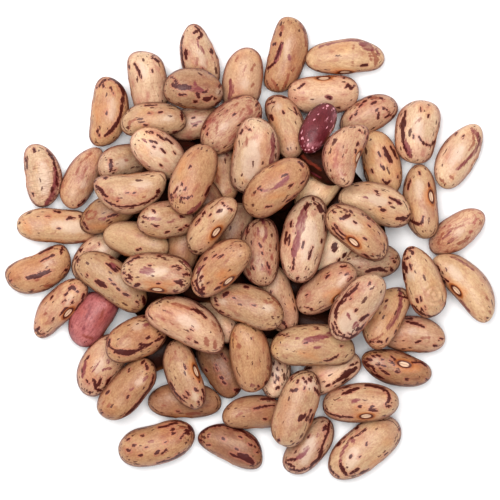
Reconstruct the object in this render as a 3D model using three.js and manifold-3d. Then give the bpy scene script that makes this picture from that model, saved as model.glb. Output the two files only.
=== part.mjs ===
// A loose, shallow heap of dried borlotti beans, lying as it was tipped out on a flat surface.
// Millimetres, +Z up, the flat underside at z = 0. Every bean of the outer layers has its own
// row below; the rows are laid in order and then settled on one another.
import * as THREE from "three";
import { mergeVertices } from "three/addons/utils/BufferGeometryUtils.js";
import Module from "manifold-3d";

// Driving sizes.
const THICKNESS = 0.86; // a bean's thickness over its width
const CURVE = 0.05; // how far a bean's middle bows away from its hilum, over its width
const BLUNT = 2.6; // how long a bean keeps its full width towards the ends
const SNUG = 0.96; // how much of its thickness a bean keeps from its neighbours
const SWELL = 0.3; // how much each bean is swollen so that touching beans make one body
const CORE_EDGE = 3.0; // the buried core's height at its rim
const CORE_RISE = 9.5; // how much higher the core stands in the middle
const AROUND = 8; // facets around a bean
const ALONG = 6; // facets along a bean

// The buried core's reach from the middle, one number for each 7.5 degrees from +X round by +Y.
const CORE_REACH = [
  37, 29, 36, 41, 39, 37, 36, 37, 40, 39, 37, 36,
  35, 36, 37, 35, 36, 36, 36, 35, 33, 38, 35, 39,
  35, 39, 38, 35, 32, 34, 37, 35, 41, 36, 32, 39,
  32, 35, 40, 40, 42, 36, 34, 34, 36, 37, 39, 41,
];

// Rows of beans: x, y, heading in degrees, length, width, roll in degrees. The hilum is on the
// right of the heading, and the roll turns it up.
const HIDDEN = [
  [-15, 18, 10, 13.6, 7.4, 0],
  [11, 19, 25, 13.4, 7.4, 0],
  [-20, 9, 345, 13.0, 7.2, 0],
  [-7, 9, 15, 13.8, 7.6, 0],
  [3, 12, 335, 13.2, 7.2, 0],
  [19, 9, 20, 13.4, 7.4, 0],
  [-14, 1, 5, 13.0, 7.4, 0],
  [-1, 1, 340, 13.6, 7.2, 0],
  [12, 1, 10, 13.2, 7.4, 0],
  [-20, -7, 30, 13.0, 7.2, 0],
  [-7, -7, 5, 13.6, 7.4, 0],
  [6, -7, 350, 13.2, 7.4, 0],
  [19, -7, 15, 13.6, 7.2, 0],
  [-13, -15, 350, 13.0, 7.4, 0],
  [0, -15, 20, 13.4, 7.2, 0],
  [12, -15, 345, 13.2, 7.4, 0],
];
const ON_FLOOR = [
  [-41.4, 15.0, 279, 12.8, 7.4, 0],
  [-28.4, 27.8, 264, 14.2, 7.6, 0],
  [-20.8, 33.4, 279, 13.8, 7.2, 0],
  [-10.6, 38.6, 105, 13.4, 7.0, 0],
  [-1.4, 33.8, 82, 14.0, 7.8, 0],
  [7.2, 39.2, 80, 15.4, 8.4, 0],
  [-10.8, 25.4, 10, 12.0, 7.0, 0],
  [19.0, 38.8, 2, 15.8, 7.2, 0],
  [24.2, 27.4, 28, 12.8, 7.2, 0],
  [27.4, 17.4, 288, 13.6, 7.4, 0],
  [41.8, 18.4, 60, 14.4, 7.4, 0],
  [-33.6, 14.6, 63, 13.6, 6.8, 0],
  [-25.6, 17.6, 15, 12.0, 7.0, 0],
  [-38.6, 4.8, 357, 16.0, 7.0, 0],
  [-42.8, -3.8, 22, 13.8, 7.6, 0],
  [-31.6, -0.8, 40, 12.4, 7.0, 0],
  [-31.6, -13.8, 54, 12.8, 7.2, 0],
  [-38.2, -11.4, 53, 14.0, 7.4, 40],
  [41.4, 3.6, 36, 12.6, 7.2, 0],
  [42.8, -7.4, 310, 15.6, 7.8, 20],
  [32.6, -17.0, 356, 13.6, 7.4, 0],
  [-29.2, -23.0, 57, 14.0, 8.2, 0],
  [-12.8, -30.0, 358, 15.2, 7.2, 0],
  [-18.6, -38.6, 16, 15.6, 8.0, 0],
  [-3.8, -39.4, 337, 14.0, 7.4, 0],
  [0.4, -32.6, 9, 13.6, 7.0, 0],
  [11.8, -39.4, 52, 13.4, 7.4, 0],
  [16.0, -24.6, 27, 13.4, 7.4, 0],
  [22.8, -39.8, 38, 16.6, 8.6, 0],
  [29.4, -23.4, 166, 14.4, 7.8, 65],
];
const BURIED = [
  [-18.8, -21.0, 20, 12.0, 7.0, 0],
  [-3.4, 3.6, 75, 12.4, 7.4, 0],
  [-5.2, 15.0, 270, 12.4, 7.0, 25],
  [-13.2, 0.4, 70, 12.0, 7.0, 0],
  [13.6, 11.4, 50, 12.4, 7.0, 0],
  [-9.4, 10.4, 305, 12.4, 7.0, 0],
];
const ON_TOP = [
  [13.0, 16.0, 330, 12.4, 7.2, 0],
  [14.0, 24.0, 51, 12.4, 7.0, 0],
  [6.2, -9.8, 105, 14.0, 7.4, 0],
  [5.4, -24.4, 279, 13.0, 7.2, 0],
  [-19.4, 26.0, 3, 13.4, 7.2, 0],
  [-11.0, 32.2, 351, 13.6, 8.4, 0],
  [14.4, 31.6, 182, 15.0, 7.4, 0],
  [6.6, 24.6, 283, 13.4, 7.4, 0],
  [33.4, 23.8, 80, 12.8, 8.2, 0],
  [19.4, 19.0, 70, 13.6, 8.0, 0],
  [34.2, 9.6, 96, 15.2, 7.6, 40],
  [-29.2, 7.0, 20, 12.4, 7.2, 0],
  [-22.6, 1.8, 346, 14.2, 7.4, 0],
  [-27.6, -6.2, 323, 16.4, 7.8, 0],
  [-18.4, 19.4, 320, 12.8, 8.4, 0],
  [24.2, -2.4, 6, 12.8, 7.2, 0],
  [16.8, 0.4, 60, 12.4, 7.0, 0],
  [-24.6, -28.0, 48, 15.0, 7.6, 0],
  [-23.2, -17.2, 26, 13.6, 7.6, 0],
  [-13.2, -25.0, 111, 14.6, 7.6, 45],
  [-5.6, -24.6, 307, 13.2, 7.4, 0],
  [0.0, -21.4, 278, 15.2, 8.4, 0],
  [27.2, -13.6, 62, 14.0, 7.6, 0],
  [34.4, -6.2, 292, 15.0, 8.0, 0],
  [12.6, -19.0, 358, 17.2, 8.4, 0],
  [9.2, -31.8, 71, 16.0, 8.0, 0],
  [22.4, -30.4, 4, 15.6, 7.8, 30],
  [-23.8, 11.8, 186, 15.0, 8.0, 0],
  [-16.8, 6.0, 5, 12.8, 7.6, 0],
  [-18.8, -4.4, 354, 14.4, 8.4, 15],
  [-11.4, 14.0, 68, 15.2, 8.4, 0],
  [-4.2, 25.2, 43, 14.4, 8.0, 0],
  [0.2, 18.8, 259, 16.0, 9.4, 0],
  [2.4, -0.2, 90, 14.0, 7.4, 0],
  [-7.4, 5.2, 51, 13.2, 7.6, 40],
  [-5.8, -3.4, 42, 14.4, 8.4, 15],
  [-12.6, -15.0, 332, 17.0, 8.4, 0],
  [-0.4, -11.2, 342, 15.2, 8.0, 0],
  [5.2, 12.4, 38, 15.2, 8.6, 0],
  [15.4, -7.8, 37, 14.4, 8.0, 15],
  [10.8, 1.8, 78, 17.4, 9.0, 0],
  [24.8, 9.2, 342, 15.6, 8.0, 0],
  [21.4, 3.6, 322, 15.2, 8.4, 40],
  [21.6, -11.4, 54, 16.0, 8.2, 0],
];

// Settling.
const ROUNDS = 400; // rounds of settling
const CALM = 60; // of which the last ones only part the beans, without pulling them down
const FALL = 0.03; // how far a bean sinks in a round
const HOLD = 0.1; // how firmly a bean keeps its place and heading
const LEVEL = 0.1; // how firmly a steep bean is laid flatter
const STEEP = 0.3; // the slope, in radians, up to which a bean is left as it lies
const REACH = 17.5; // beans with their middles further apart never touch
const CLOSE = 2.0; // spheres with a wider gap than this are left out of a round
const KEEP_UP = 0.15; // how much an upper bean is always pushed up by a lower one

const rad = THREE.MathUtils.degToRad;

// A bean is felt as two rows of spheres side by side along its bowed middle line.
function spheresOf(length, width) {
  const thick = THICKNESS * width;
  const end = length / 2 - 0.46 * thick;
  const spheres = [];
  for (let i = 0; i < 6; i += 1) {
    const t = -1 + 0.4 * i;
    const full = 1 - 0.14 * Math.abs(t) ** 3;
    const bow = CURVE * width * (1 - 2.2 * t * t);
    const r = SNUG * (thick / 2) * full;
    const aside = (width / 2) * full - r;
    spheres.push({ at: new THREE.Vector3(t * end, bow - aside, 0), r });
    spheres.push({ at: new THREE.Vector3(t * end, bow + aside, 0), r });
  }
  return spheres;
}

function turned(heading, slope, roll) {
  const q = new THREE.Quaternion().setFromAxisAngle(new THREE.Vector3(0, 0, 1), heading);
  q.multiply(new THREE.Quaternion().setFromAxisAngle(new THREE.Vector3(0, 1, 0), -slope));
  q.multiply(new THREE.Quaternion().setFromAxisAngle(new THREE.Vector3(1, 0, 0), -roll));
  return q;
}

function beanFrom([x, y, heading, length, width, roll], level) {
  const thick = THICKNESS * width;
  return {
    x,
    y,
    heading: rad(heading),
    roll: rad(roll),
    length,
    width,
    level,
    mass: (length * width * width) / 800,
    inertia: new THREE.Vector3(
      (width ** 2 + thick ** 2) / 20,
      (length ** 2 + thick ** 2) / 20,
      (length ** 2 + width ** 2) / 20,
    ),
    spheres: spheresOf(length, width),
    place: new THREE.Vector3(x, y, 0),
    turn: turned(rad(heading), 0, rad(roll)),
  };
}

function worldOf(bean) {
  return bean.spheres.map(({ at, r }) => ({ p: at.clone().applyQuaternion(bean.turn).add(bean.place), r }));
}

// Lay the beans one after another, each as low as the ones before let it lie.
function lay(beans) {
  const laid = [];
  for (const bean of beans) {
    const here = worldOf(bean);
    const need = here.map(({ p, r }) => r - p.z);
    if (bean.level > 0) {
      here.forEach(({ p, r }, k) => {
        for (const other of laid) {
          const both = r + other.r;
          const away = Math.hypot(p.x - other.p.x, p.y - other.p.y) / (both * 0.6);
          if (away < 1) {
            need[k] = Math.max(need[k], other.p.z + 0.9 * both * Math.sqrt(1 - away * away) - p.z);
          }
        }
      });
    }
    let best = Infinity;
    for (let slope = -0.4; slope < 0.405; slope += 0.01) {
      const height = Math.max(...need.map((n, k) => n - slope * bean.spheres[k].at.x));
      if (height + 0.8 * Math.abs(slope) < best) {
        best = height + 0.8 * Math.abs(slope);
        bean.place.z = height;
        bean.turn = turned(bean.heading, Math.atan(slope), bean.roll);
      }
    }
    laid.push(...worldOf(bean));
  }
}

function closePairs(beans, worlds) {
  const pairs = [];
  for (let i = 0; i < beans.length; i += 1) {
    for (let j = i + 1; j < beans.length; j += 1) {
      if (beans[i].place.distanceTo(beans[j].place) < REACH) {
        for (let a = 0; a < worlds[i].length; a += 1) {
          for (let b = 0; b < worlds[j].length; b += 1) {
            const gap = worlds[i][a].p.distanceTo(worlds[j][b].p) - worlds[i][a].r - worlds[j][b].r;
            if (gap < CLOSE) {
              pairs.push([i, a, j, b]);
            }
          }
        }
      }
    }
  }
  return pairs;
}

// What a push of size one at an arm from the bean's middle turns it by.
function turnedBy(bean, arm, push) {
  const v = arm.clone().cross(push).applyQuaternion(bean.turn.clone().invert());
  v.divide(bean.inertia).divideScalar(bean.mass);
  return v.applyQuaternion(bean.turn);
}

function note(bean, push, turn, size) {
  bean.shift.addScaledVector(push, size / bean.mass);
  bean.spin.addScaledVector(turn, size);
  bean.count += 1;
}

function partPair(one, two, a, b) {
  const push = a.p.clone().sub(b.p);
  const away = push.length();
  const deep = a.r + b.r - away;
  if (deep <= 0) {
    return;
  }
  push.divideScalar(Math.max(away, 1e-6));
  const up = Math.sign(one.level - two.level);
  if (up !== 0 && push.z * up < KEEP_UP) {
    push.z = up * KEEP_UP;
  }
  push.normalize();
  const touch = b.p.clone().addScaledVector(push, b.r);
  const armOne = touch.clone().sub(one.place);
  const armTwo = touch.clone().sub(two.place);
  const turnOne = turnedBy(one, armOne, push);
  const turnTwo = turnedBy(two, armTwo, push);
  const give = 1 / one.mass + 1 / two.mass + armOne.cross(push).dot(turnOne) + armTwo.cross(push).dot(turnTwo);
  note(one, push, turnOne, deep / give);
  note(two, push, turnTwo, -deep / give);
}

function liftFromFloor(bean, sphere) {
  const deep = sphere.r - sphere.p.z;
  if (deep <= 0) {
    return;
  }
  const push = new THREE.Vector3(0, 0, 1);
  const arm = sphere.p.clone().sub(bean.place);
  arm.z -= sphere.r;
  const turn = turnedBy(bean, arm, push);
  note(bean, push, turn, deep / (1 / bean.mass + arm.cross(push).dot(turn)));
}

function spinBy(bean, v) {
  const angle = v.length();
  if (angle > 1e-9) {
    bean.turn.premultiply(new THREE.Quaternion().setFromAxisAngle(v.clone().divideScalar(angle), angle));
    bean.turn.normalize();
  }
}

function wrapped(angle) {
  return Math.atan2(Math.sin(angle), Math.cos(angle));
}

// Draw a bean back to its place, heading and roll, and lay it flatter where it is steep.
function steady(bean, hold) {
  bean.place.x += hold * (bean.x - bean.place.x);
  bean.place.y += hold * (bean.y - bean.place.y);
  const along = new THREE.Vector3(1, 0, 0).applyQuaternion(bean.turn);
  const flat = new THREE.Vector3(0, 0, 1).applyQuaternion(bean.turn);
  const side = new THREE.Vector3(0, 0, 1).cross(along).normalize();
  const top = along.clone().cross(side);
  const yaw = wrapped(bean.heading - Math.atan2(along.y, along.x));
  const roll = wrapped(bean.roll - Math.atan2(flat.dot(side), flat.dot(top)));
  const slope = Math.asin(THREE.MathUtils.clamp(along.z, -1, 1));
  const spin = new THREE.Vector3(0, 0, 1.5 * hold * yaw);
  spin.addScaledVector(along, -hold * roll);
  spin.addScaledVector(side, LEVEL * Math.sign(slope) * Math.max(Math.abs(slope) - STEEP, 0));
  spinBy(bean, spin);
}

function settle(beans) {
  let pairs = [];
  for (let round = 0; round < ROUNDS; round += 1) {
    const worlds = beans.map(worldOf);
    if (round % 10 === 0) {
      pairs = closePairs(beans, worlds);
    }
    for (const bean of beans) {
      bean.shift = new THREE.Vector3();
      bean.spin = new THREE.Vector3();
      bean.count = 0;
    }
    for (const [i, a, j, b] of pairs) {
      partPair(beans[i], beans[j], worlds[i][a], worlds[j][b]);
    }
    beans.forEach((bean, i) => worlds[i].forEach((sphere) => liftFromFloor(bean, sphere)));
    const falling = round < ROUNDS - CALM;
    for (const bean of beans) {
      const share = 0.9 * Math.max(1.6 / Math.max(bean.count, 1), 0.25);
      bean.place.addScaledVector(bean.shift, share);
      spinBy(bean, bean.spin.multiplyScalar(share));
      bean.place.z -= falling ? FALL : 0;
      steady(bean, falling ? HOLD : 0);
    }
  }
}

const wasm = await Module();
wasm.setup();

function solidOf(geometry) {
  const bare = new THREE.BufferGeometry();
  bare.setAttribute("position", geometry.getAttribute("position"));
  bare.setIndex(geometry.getIndex());
  const welded = mergeVertices(bare, 1e-4);
  return new wasm.Manifold(new wasm.Mesh({
    numProp: 3,
    vertProperties: new Float32Array(welded.getAttribute("position").array),
    triVerts: new Uint32Array(welded.getIndex().array),
  }));
}

// A ball drawn out into a blunt-ended, bowed bean.
function beanSolid(bean) {
  const ball = new THREE.SphereGeometry(1, AROUND, ALONG);
  const position = ball.getAttribute("position");
  const halfLength = bean.length / 2 + SWELL;
  const halfWidth = bean.width / 2 + SWELL;
  const halfThick = (THICKNESS * bean.width) / 2 + SWELL;
  for (let i = 0; i < position.count; i += 1) {
    const t = THREE.MathUtils.clamp(position.getY(i), -1, 1);
    const ring = Math.sqrt(1 - t * t);
    const full = ring < 1e-6 ? 0 : (1 - Math.abs(t) ** BLUNT) ** (1 / 2.2) / ring;
    const bow = CURVE * bean.width * (1 - 3 * t * t);
    const p = new THREE.Vector3(
      t * halfLength,
      bow - position.getX(i) * full * halfWidth,
      position.getZ(i) * full * halfThick,
    );
    p.applyQuaternion(bean.turn).add(bean.place);
    position.setXYZ(i, p.x, p.y, p.z);
  }
  return solidOf(ball);
}

// The core that joins the buried sides of the beans: a low mound over an uneven outline.
function coreSolid() {
  const rings = 4;
  const profile = [new THREE.Vector2(0, 0), new THREE.Vector2(1, 0)];
  for (let i = 0; i < rings; i += 1) {
    const r = 1 - i / rings;
    profile.push(new THREE.Vector2(r, CORE_EDGE + CORE_RISE * (1 - r ** 2.6)));
  }
  profile.push(new THREE.Vector2(0, CORE_EDGE + CORE_RISE));
  const mound = new THREE.LatheGeometry(profile, CORE_REACH.length);
  const position = mound.getAttribute("position");
  const step = (2 * Math.PI) / CORE_REACH.length;
  for (let i = 0; i < position.count; i += 1) {
    const x = position.getZ(i);
    const y = position.getX(i);
    const turn = Math.round(Math.atan2(y, x) / step + CORE_REACH.length) % CORE_REACH.length;
    const reach = CORE_REACH[turn];
    position.setXYZ(i, x * reach, y * reach, position.getY(i));
  }
  const index = Array.from(mound.getIndex().array);
  const kept = [];
  for (let i = 0; i < index.length; i += 3) {
    const [a, b, c] = index.slice(i, i + 3).map((v) => new THREE.Vector3().fromBufferAttribute(position, v));
    if (b.sub(a).cross(c.sub(a)).length() > 1e-6) {
      kept.push(index[i], index[i + 1], index[i + 2]);
    }
  }
  mound.setIndex(kept);
  return solidOf(mound);
}

const hidden = HIDDEN.map((row) => beanFrom(row, 0));
const onFloor = ON_FLOOR.map((row) => beanFrom(row, 0));
const buried = BURIED.map((row, i) => beanFrom(row, i + 1));
const onTop = ON_TOP.map((row, i) => beanFrom(row, BURIED.length + i + 1));
const beans = [...hidden, ...onFloor, ...buried, ...onTop];
lay(beans);
settle(beans);

// Everything above the flat underside, joined and set with its middle at the origin.
const joined = [...onFloor, ...onTop].map(beanSolid).reduce((whole, one) => whole.add(one), coreSolid());
const trimmed = joined.trimByPlane([0, 0, 1], 0);
const box = trimmed.boundingBox();
const middle = [(box.min[0] + box.max[0]) / 2, (box.min[1] + box.max[1]) / 2];
const heap = trimmed.translate([-middle[0], -middle[1], 0]);
const mesh = heap.getMesh();

const geometry = new THREE.BufferGeometry();
geometry.setAttribute("position", new THREE.BufferAttribute(new Float32Array(mesh.vertProperties), 3));
geometry.setIndex(new THREE.BufferAttribute(new Uint32Array(mesh.triVerts), 1));
geometry.computeVertexNormals();

const beanHeap = new THREE.Mesh(
  geometry,
  new THREE.MeshStandardMaterial({ name: "dried_bean", color: 0xc9a27c, roughness: 0.45 }),
);
beanHeap.name = "bean_heap";

const group = new THREE.Group();
group.name = "heap_of_dried_beans";
group.add(beanHeap);

export default group;
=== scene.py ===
"""The looks of a loose heap of dried borlotti beans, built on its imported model.

Every bean has a row that says where it lies, its size, the colour of its skin and what sets it apart,
and the marks on it are listed under its label. Rows are in millimetres; the scene is in metres.
"""

import math
from types import SimpleNamespace

import bmesh
import bpy
import numpy as np
from mathutils import Matrix


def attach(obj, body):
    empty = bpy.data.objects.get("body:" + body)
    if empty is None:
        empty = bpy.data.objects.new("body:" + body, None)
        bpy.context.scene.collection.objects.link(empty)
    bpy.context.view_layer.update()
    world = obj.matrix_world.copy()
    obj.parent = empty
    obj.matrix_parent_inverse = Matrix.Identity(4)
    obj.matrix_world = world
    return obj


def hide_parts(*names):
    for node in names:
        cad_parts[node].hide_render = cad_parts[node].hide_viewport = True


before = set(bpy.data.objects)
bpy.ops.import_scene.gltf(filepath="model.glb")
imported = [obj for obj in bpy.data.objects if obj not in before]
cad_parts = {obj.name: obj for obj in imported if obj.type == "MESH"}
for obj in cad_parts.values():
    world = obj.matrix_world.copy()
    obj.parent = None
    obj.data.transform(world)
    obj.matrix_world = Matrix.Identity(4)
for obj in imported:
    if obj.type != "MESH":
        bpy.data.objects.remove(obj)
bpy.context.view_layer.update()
scene = bpy.context.scene
bpy.ops.object.select_all(action="DESELECT")

MM = 0.001

# ---------------------------------------------------------------- camera and light

CAMERA_HEIGHT = 1.5
VIEW_WIDTH = 0.1            # what the camera takes in at the height of the upper beans
UPPER_BEANS = 0.012
SENSOR = 0.036

LIGHTS = [
    # name, place, width and height, power, colour
    ("overhead", (-0.05, 0.09, 0.88), 0.60, 8.8, (1.0, 0.995, 0.985)),
    ("window", (-0.45, 0.50, 0.55), 0.30, 1.5, (1.0, 0.985, 0.965)),
]
SKY = 0.40
SKY_COLOR = (0.91, 0.95, 0.98, 1)
FLOOR_COLOR = (0.90, 0.90, 0.905, 1)
FLOOR_SIZE = 3
FLOOR_ROUGHNESS = 0.6

# ---------------------------------------------------------------- sizes

THICKNESS = 0.86            # a bean's thickness over its width
CURVE = 0.05                # how far its middle bows away from the hilum, over its width
BOW = 0.022                 # the same in the bean that is copied, before its own bend is added
LENGTH = 14.6               # of the bean that the others are copied from
WIDTH = 7.8

# How blunt the ends are and how full the middle is, for each form of bean.
FORMS = {"plain": (2.4, 2.1), "long": (3.0, 2.3), "lean": (2.1, 2.0), "rough": (2.5, 2.1)}
FINE = (80, 60)             # facets around and along a bean that shows
COARSE = (32, 24)           # and one that is buried
ASIDE = 10                  # how far a finished ring is put away from those still to be shaped

CORE_RADIUS = 0.024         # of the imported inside, before it is pressed flat
CORE_SHAPE = (1.15, 1.0, 0.15)
CORE_LIFT = 0.0006

# ---------------------------------------------------------------- the beans

# Label, x, y, heading, length, width and skin, then by name what sets a bean apart: its form, the
# roll it lies at, its bend and taper over the width, the roll its hilum shows at, how far along it
# the hilum is (eye), how light, flecked, mottled and wrinkled it is. How light it is (shade) holds
# the skin's own lightness and also painted light and shade: some beans in shadow are made lighter,
# others darker. The hilum is on the right of the heading, and a roll turns it up. Beans lie from
# above as A to C along the top edge, E to G across the middle and H to J along the bottom. X1 to X16
# fill the heap from below, and only X14 shows, between F10 and F8.
# The deep skin is painted shade: a dark brown for beans as they look in the heap's shadow, F16 and H8 in
# gaps and the X beans under the heap.
LAYERS = {
    "hidden": """
X1 -15 18 10 13.6 7.4 deep
X2 11 19 25 13.4 7.4 deep
X3 -20 9 345 13.0 7.2 deep
X4 -7 9 15 13.8 7.6 deep
X5 3 12 335 13.2 7.2 deep
X6 19 9 20 13.4 7.4 deep
X7 -14 1 5 13.0 7.4 deep
X8 -1 1 340 13.6 7.2 deep
X9 12 1 10 13.2 7.4 deep
X10 -20 -7 30 13.0 7.2 deep
X11 -7 -7 5 13.6 7.4 deep
X12 6 -7 350 13.2 7.4 deep
X13 19 -7 15 13.6 7.2 deep
X14 -7.6 -13.2 317 14.5 7.4 pink shade 6
X15 0 -15 20 13.4 7.2 deep
X16 12 -15 345 13.2 7.4 deep
""",
    "floor": """
A1 -41.9 15.0 279 12.8 7.4 cream bend 0.02 taper 0.04 wrinkle 1 shade 0.6
A2 -28.6 27.8 264 14.2 7.6 orange bend 0.02 shade 1.2
A3 -20.6 33.4 279 13.8 7.9 cream form long shade 1.4
B1 -10.3 38.9 108 13.4 7.3 cream form lean taper -0.08 shade -0.8
B3 -1.5 33.8 82 14.0 8.1 pink taper 0.02 fleck 0.4 mottle 0.6 shade 1
B5 7.2 39.3 257 15.4 7.6 orange form long taper 0.02 shade -0.5
B10 -10.8 25.4 10 12.0 7.0 pink mottle 1.5
C1 19.0 38.8 2 15.8 7.2 sand bend -0.02 show 24 fleck 0.5 shade 1.5
C2 23.8 26.9 28 12.6 7.2 pink mottle 1.2 shade 0.5 fleck 1.5
C4 26.4 17.4 285 13.6 7.9 orange shade 6 show 20 eye 1.6
C6 42.0 19.0 60 14.4 7.4 cream form lean taper -0.06 mottle 0.8 fleck 0.4 shade 1.5
A4 -33.8 14.6 63 13.6 6.8 pink form lean taper -0.12 mottle 1.5 fleck 0.3
A4b -25.6 17.6 15 12.0 7.0 cream shade -1.5
E1 -38.9 4.8 357 16.0 7.0 sand form long shade 1
E3 -42.3 -4.0 205 13.8 7.6 orange form long bend 0.03 taper 0.05 shade -0.5 fleck 1.3
E7 -30.7 -1.1 40 12.4 7.0 cream fleck 1.5
E5 -31.55 -13.5 54 12.8 8.0 red mottle 1.6 fleck 0.2 shade 1.5
E4 -38.3 -11.4 48 15.2 7.0 pink roll 40 show 49 eye 1.15 shade 0.8
G3 41.6 3.7 36 13.3 6.9 pink form lean taper -0.05 mottle 2.2 fleck 0.4 shade 2
G4 43.4 -7.1 310 16.8 8.0 sand roll 20 bend 0.04 taper 0.03 show 48 eye -0.4 fleck 0.4 shade 1.6
G9 32.6 -17.0 356 13.6 7.4 pink
H1 -29.6 -23.0 57 14.0 8.2 pink fleck 1.5 shade 1.2
H4 -13.2 -30.3 358 14.7 7.2 brown shade -0.3
H6 -18.8 -38.9 196 15.9 8.4 orange taper 0.03 fleck 1.6 shade -1.2 show -25
H7 -3.6 -39.4 335 14.0 7.4 brown form lean bend 0.02 shade -2.8 fleck 1.4
I4 0.7 -32.8 3 13.6 7.0 brown shade 1
J4 11.8 -39.4 232 13.4 7.4 cream shade -2.2 fleck 1.3 show -20
J2 16.0 -24.6 27 13.4 7.4 pink shade 9
J6 22.8 -39.8 38 17.2 8.8 tan taper 0.03 shade 0.7
J7 29.4 -23.6 166 14.4 7.6 orange form lean roll 65 show 72 eye -1.3 fleck 1.4 shade -3.8
""",
    "buried": """
H8 -18.8 -21.0 20 12.0 7.0 deep shade -4
F11 -3.4 3.6 75 12.4 7.4 cream shade -4
F12 -5.2 15.0 270 12.4 7.0 pink roll 25 show 50
F13 -13.2 0.4 70 12.0 7.0 brown shade 3.5
F15 13.6 11.4 50 12.4 7.0 tan shade 11
F17 -9.4 10.4 305 12.4 7.0 tan shade -8
""",
    "top": """
F16 14.0 17.0 330 12.4 6.4 deep shade -2
F9 5.6 -9.8 105 14.0 7.4 pink shade 1 fleck 1.8
I3 4.6 -23.7 279 12.6 6.6 cream fleck 2 shade 7
A5 -19.4 26.0 3 13.4 7.2 tan mottle 0.4 shade -1 fleck 1.5
B2 -11.3 32.2 353 12.5 8.4 tan shade -5
B8 14.7 31.25 182 14.2 8.1 pink form long show 30 fleck 0.6 shade 3.7
B6 7.2 24.9 288 15.2 6.6 tan form long bend 0.03
C5 33.7 23.8 80 12.8 8.6 cream form long shade 2
C3 19.0 19.0 70 13.6 7.6 pink bend 0.07 show 25 mottle 1.6 shade 0.5 fleck 1.5
B9 13.5 24.4 58 11.8 6.2 maroon fleck 3
G2 34.4 9.8 96 15.2 7.6 sand roll 40 show 52 eye 0.2 shade -0.7
E2 -28.6 7.3 24 11.9 6.8 khaki form lean shade -3
E8 -22.6 1.8 346 14.2 7.4 khaki fleck 0.1 shade 2.5
E6 -27.6 -6.2 323 16.4 7.8 khaki form long shade -0.6
A6 -18.4 19.4 320 12.8 8.4 cream fleck 0.6 shade 3
G6 24.2 -2.4 6 12.8 7.2 cream shade -1 fleck 1.6 mottle 1.6
F6 16.8 0.4 60 12.4 7.0 cream shade 9.5
H3 -24.6 -28.0 228 15.0 7.6 orange form long shade -1.8 show -25
H2 -22.9 -17.9 26 13.6 8.2 orange fleck 1.5 shade -0.6
H5 -13.2 -25.0 111 14.6 7.6 sand roll 45 show 45 eye -0.45 shade -3
I1 -6.0 -23.8 302 13.2 7.4 brown shade -4.5
I2 0.0 -21.4 278 15.2 8.4 orange shade 0.4
G8 27.2 -13.3 62 14.0 7.6 orange shade 4.7
G5 34.5 -6.2 290 15.2 7.5 sand form rough taper 0.2 shade 1
J1 12.6 -19.3 358 17.2 8.7 khaki taper 0.03 shade 1.4
J3 9.2 -31.8 71 16.0 8.0 tan form long fleck 1.3 shade -1.6
J5 22.3 -30.8 4 16.0 8.5 tan roll 30 show 50 eye 1.8 fleck 0.5 shade -0.5
A7 -23.8 12.0 186 15.0 8.0 tan bend 0.06 shade -1
E10 -16.5 6.0 5 12.8 7.6 tan shade -2
E9 -18.5 -4.7 354 14.4 8.4 tan form long roll 15 show 32 eye 0.5 fleck 1.6 shade -1.7
F0 -11.4 14.0 68 15.2 8.4 orange taper 0.05 fleck 0.8 shade -0.5
B4 -3.9 25.1 43 14.8 8.6 pink mottle 2 fleck 1.8 shade -1.3
B7 0.8 18.8 259 16.0 9.4 cream shade 0.5
F3 2.1 -0.4 90 14.4 8.2 pink mottle 1.6 shade -2 fleck 2.2
F1 -7.6 5.2 51 14.6 7.2 sand roll 40 show 58 eye 0.3 fleck 1.3 shade -0.5
F2 -5.8 -3.4 42 14.8 8.6 orange roll 15 bend 0.03 show 36 fleck 1.5 shade -1.6
F10 -12.6 -14.8 332 17.0 8.7 pink bend 0.02 shade 0.7
F8 -0.4 -11.2 342 15.2 8.0 sand shade -3.5 fleck 1.6
F4 5.0 12.6 38 15.6 8.6 orange shade -1
F7 15.4 -7.6 37 14.6 8.0 pink roll 15 show 40 eye 1.6 fleck 1.5 shade -0.7
F5 10.8 2.3 78 18.2 9.0 cream
G0 25.2 9.2 342 15.6 8.0 tan shade 3
G1 21.4 3.6 322 15.2 8.4 sand roll 40 show 58 eye -0.1 fleck 1.3 shade -1
G7 21.3 -11.2 54 16.0 8.2 cream shade -1.7
""",
}
SIZES = ("x", "y", "heading", "length", "width")
USUAL = {"form": "plain", "roll": 0.0, "bend": 0.0, "taper": 0.0, "eye": 0.0,
         "shade": 0.0, "fleck": 1.0, "mottle": 1.0, "wrinkle": 0.0}

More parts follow.
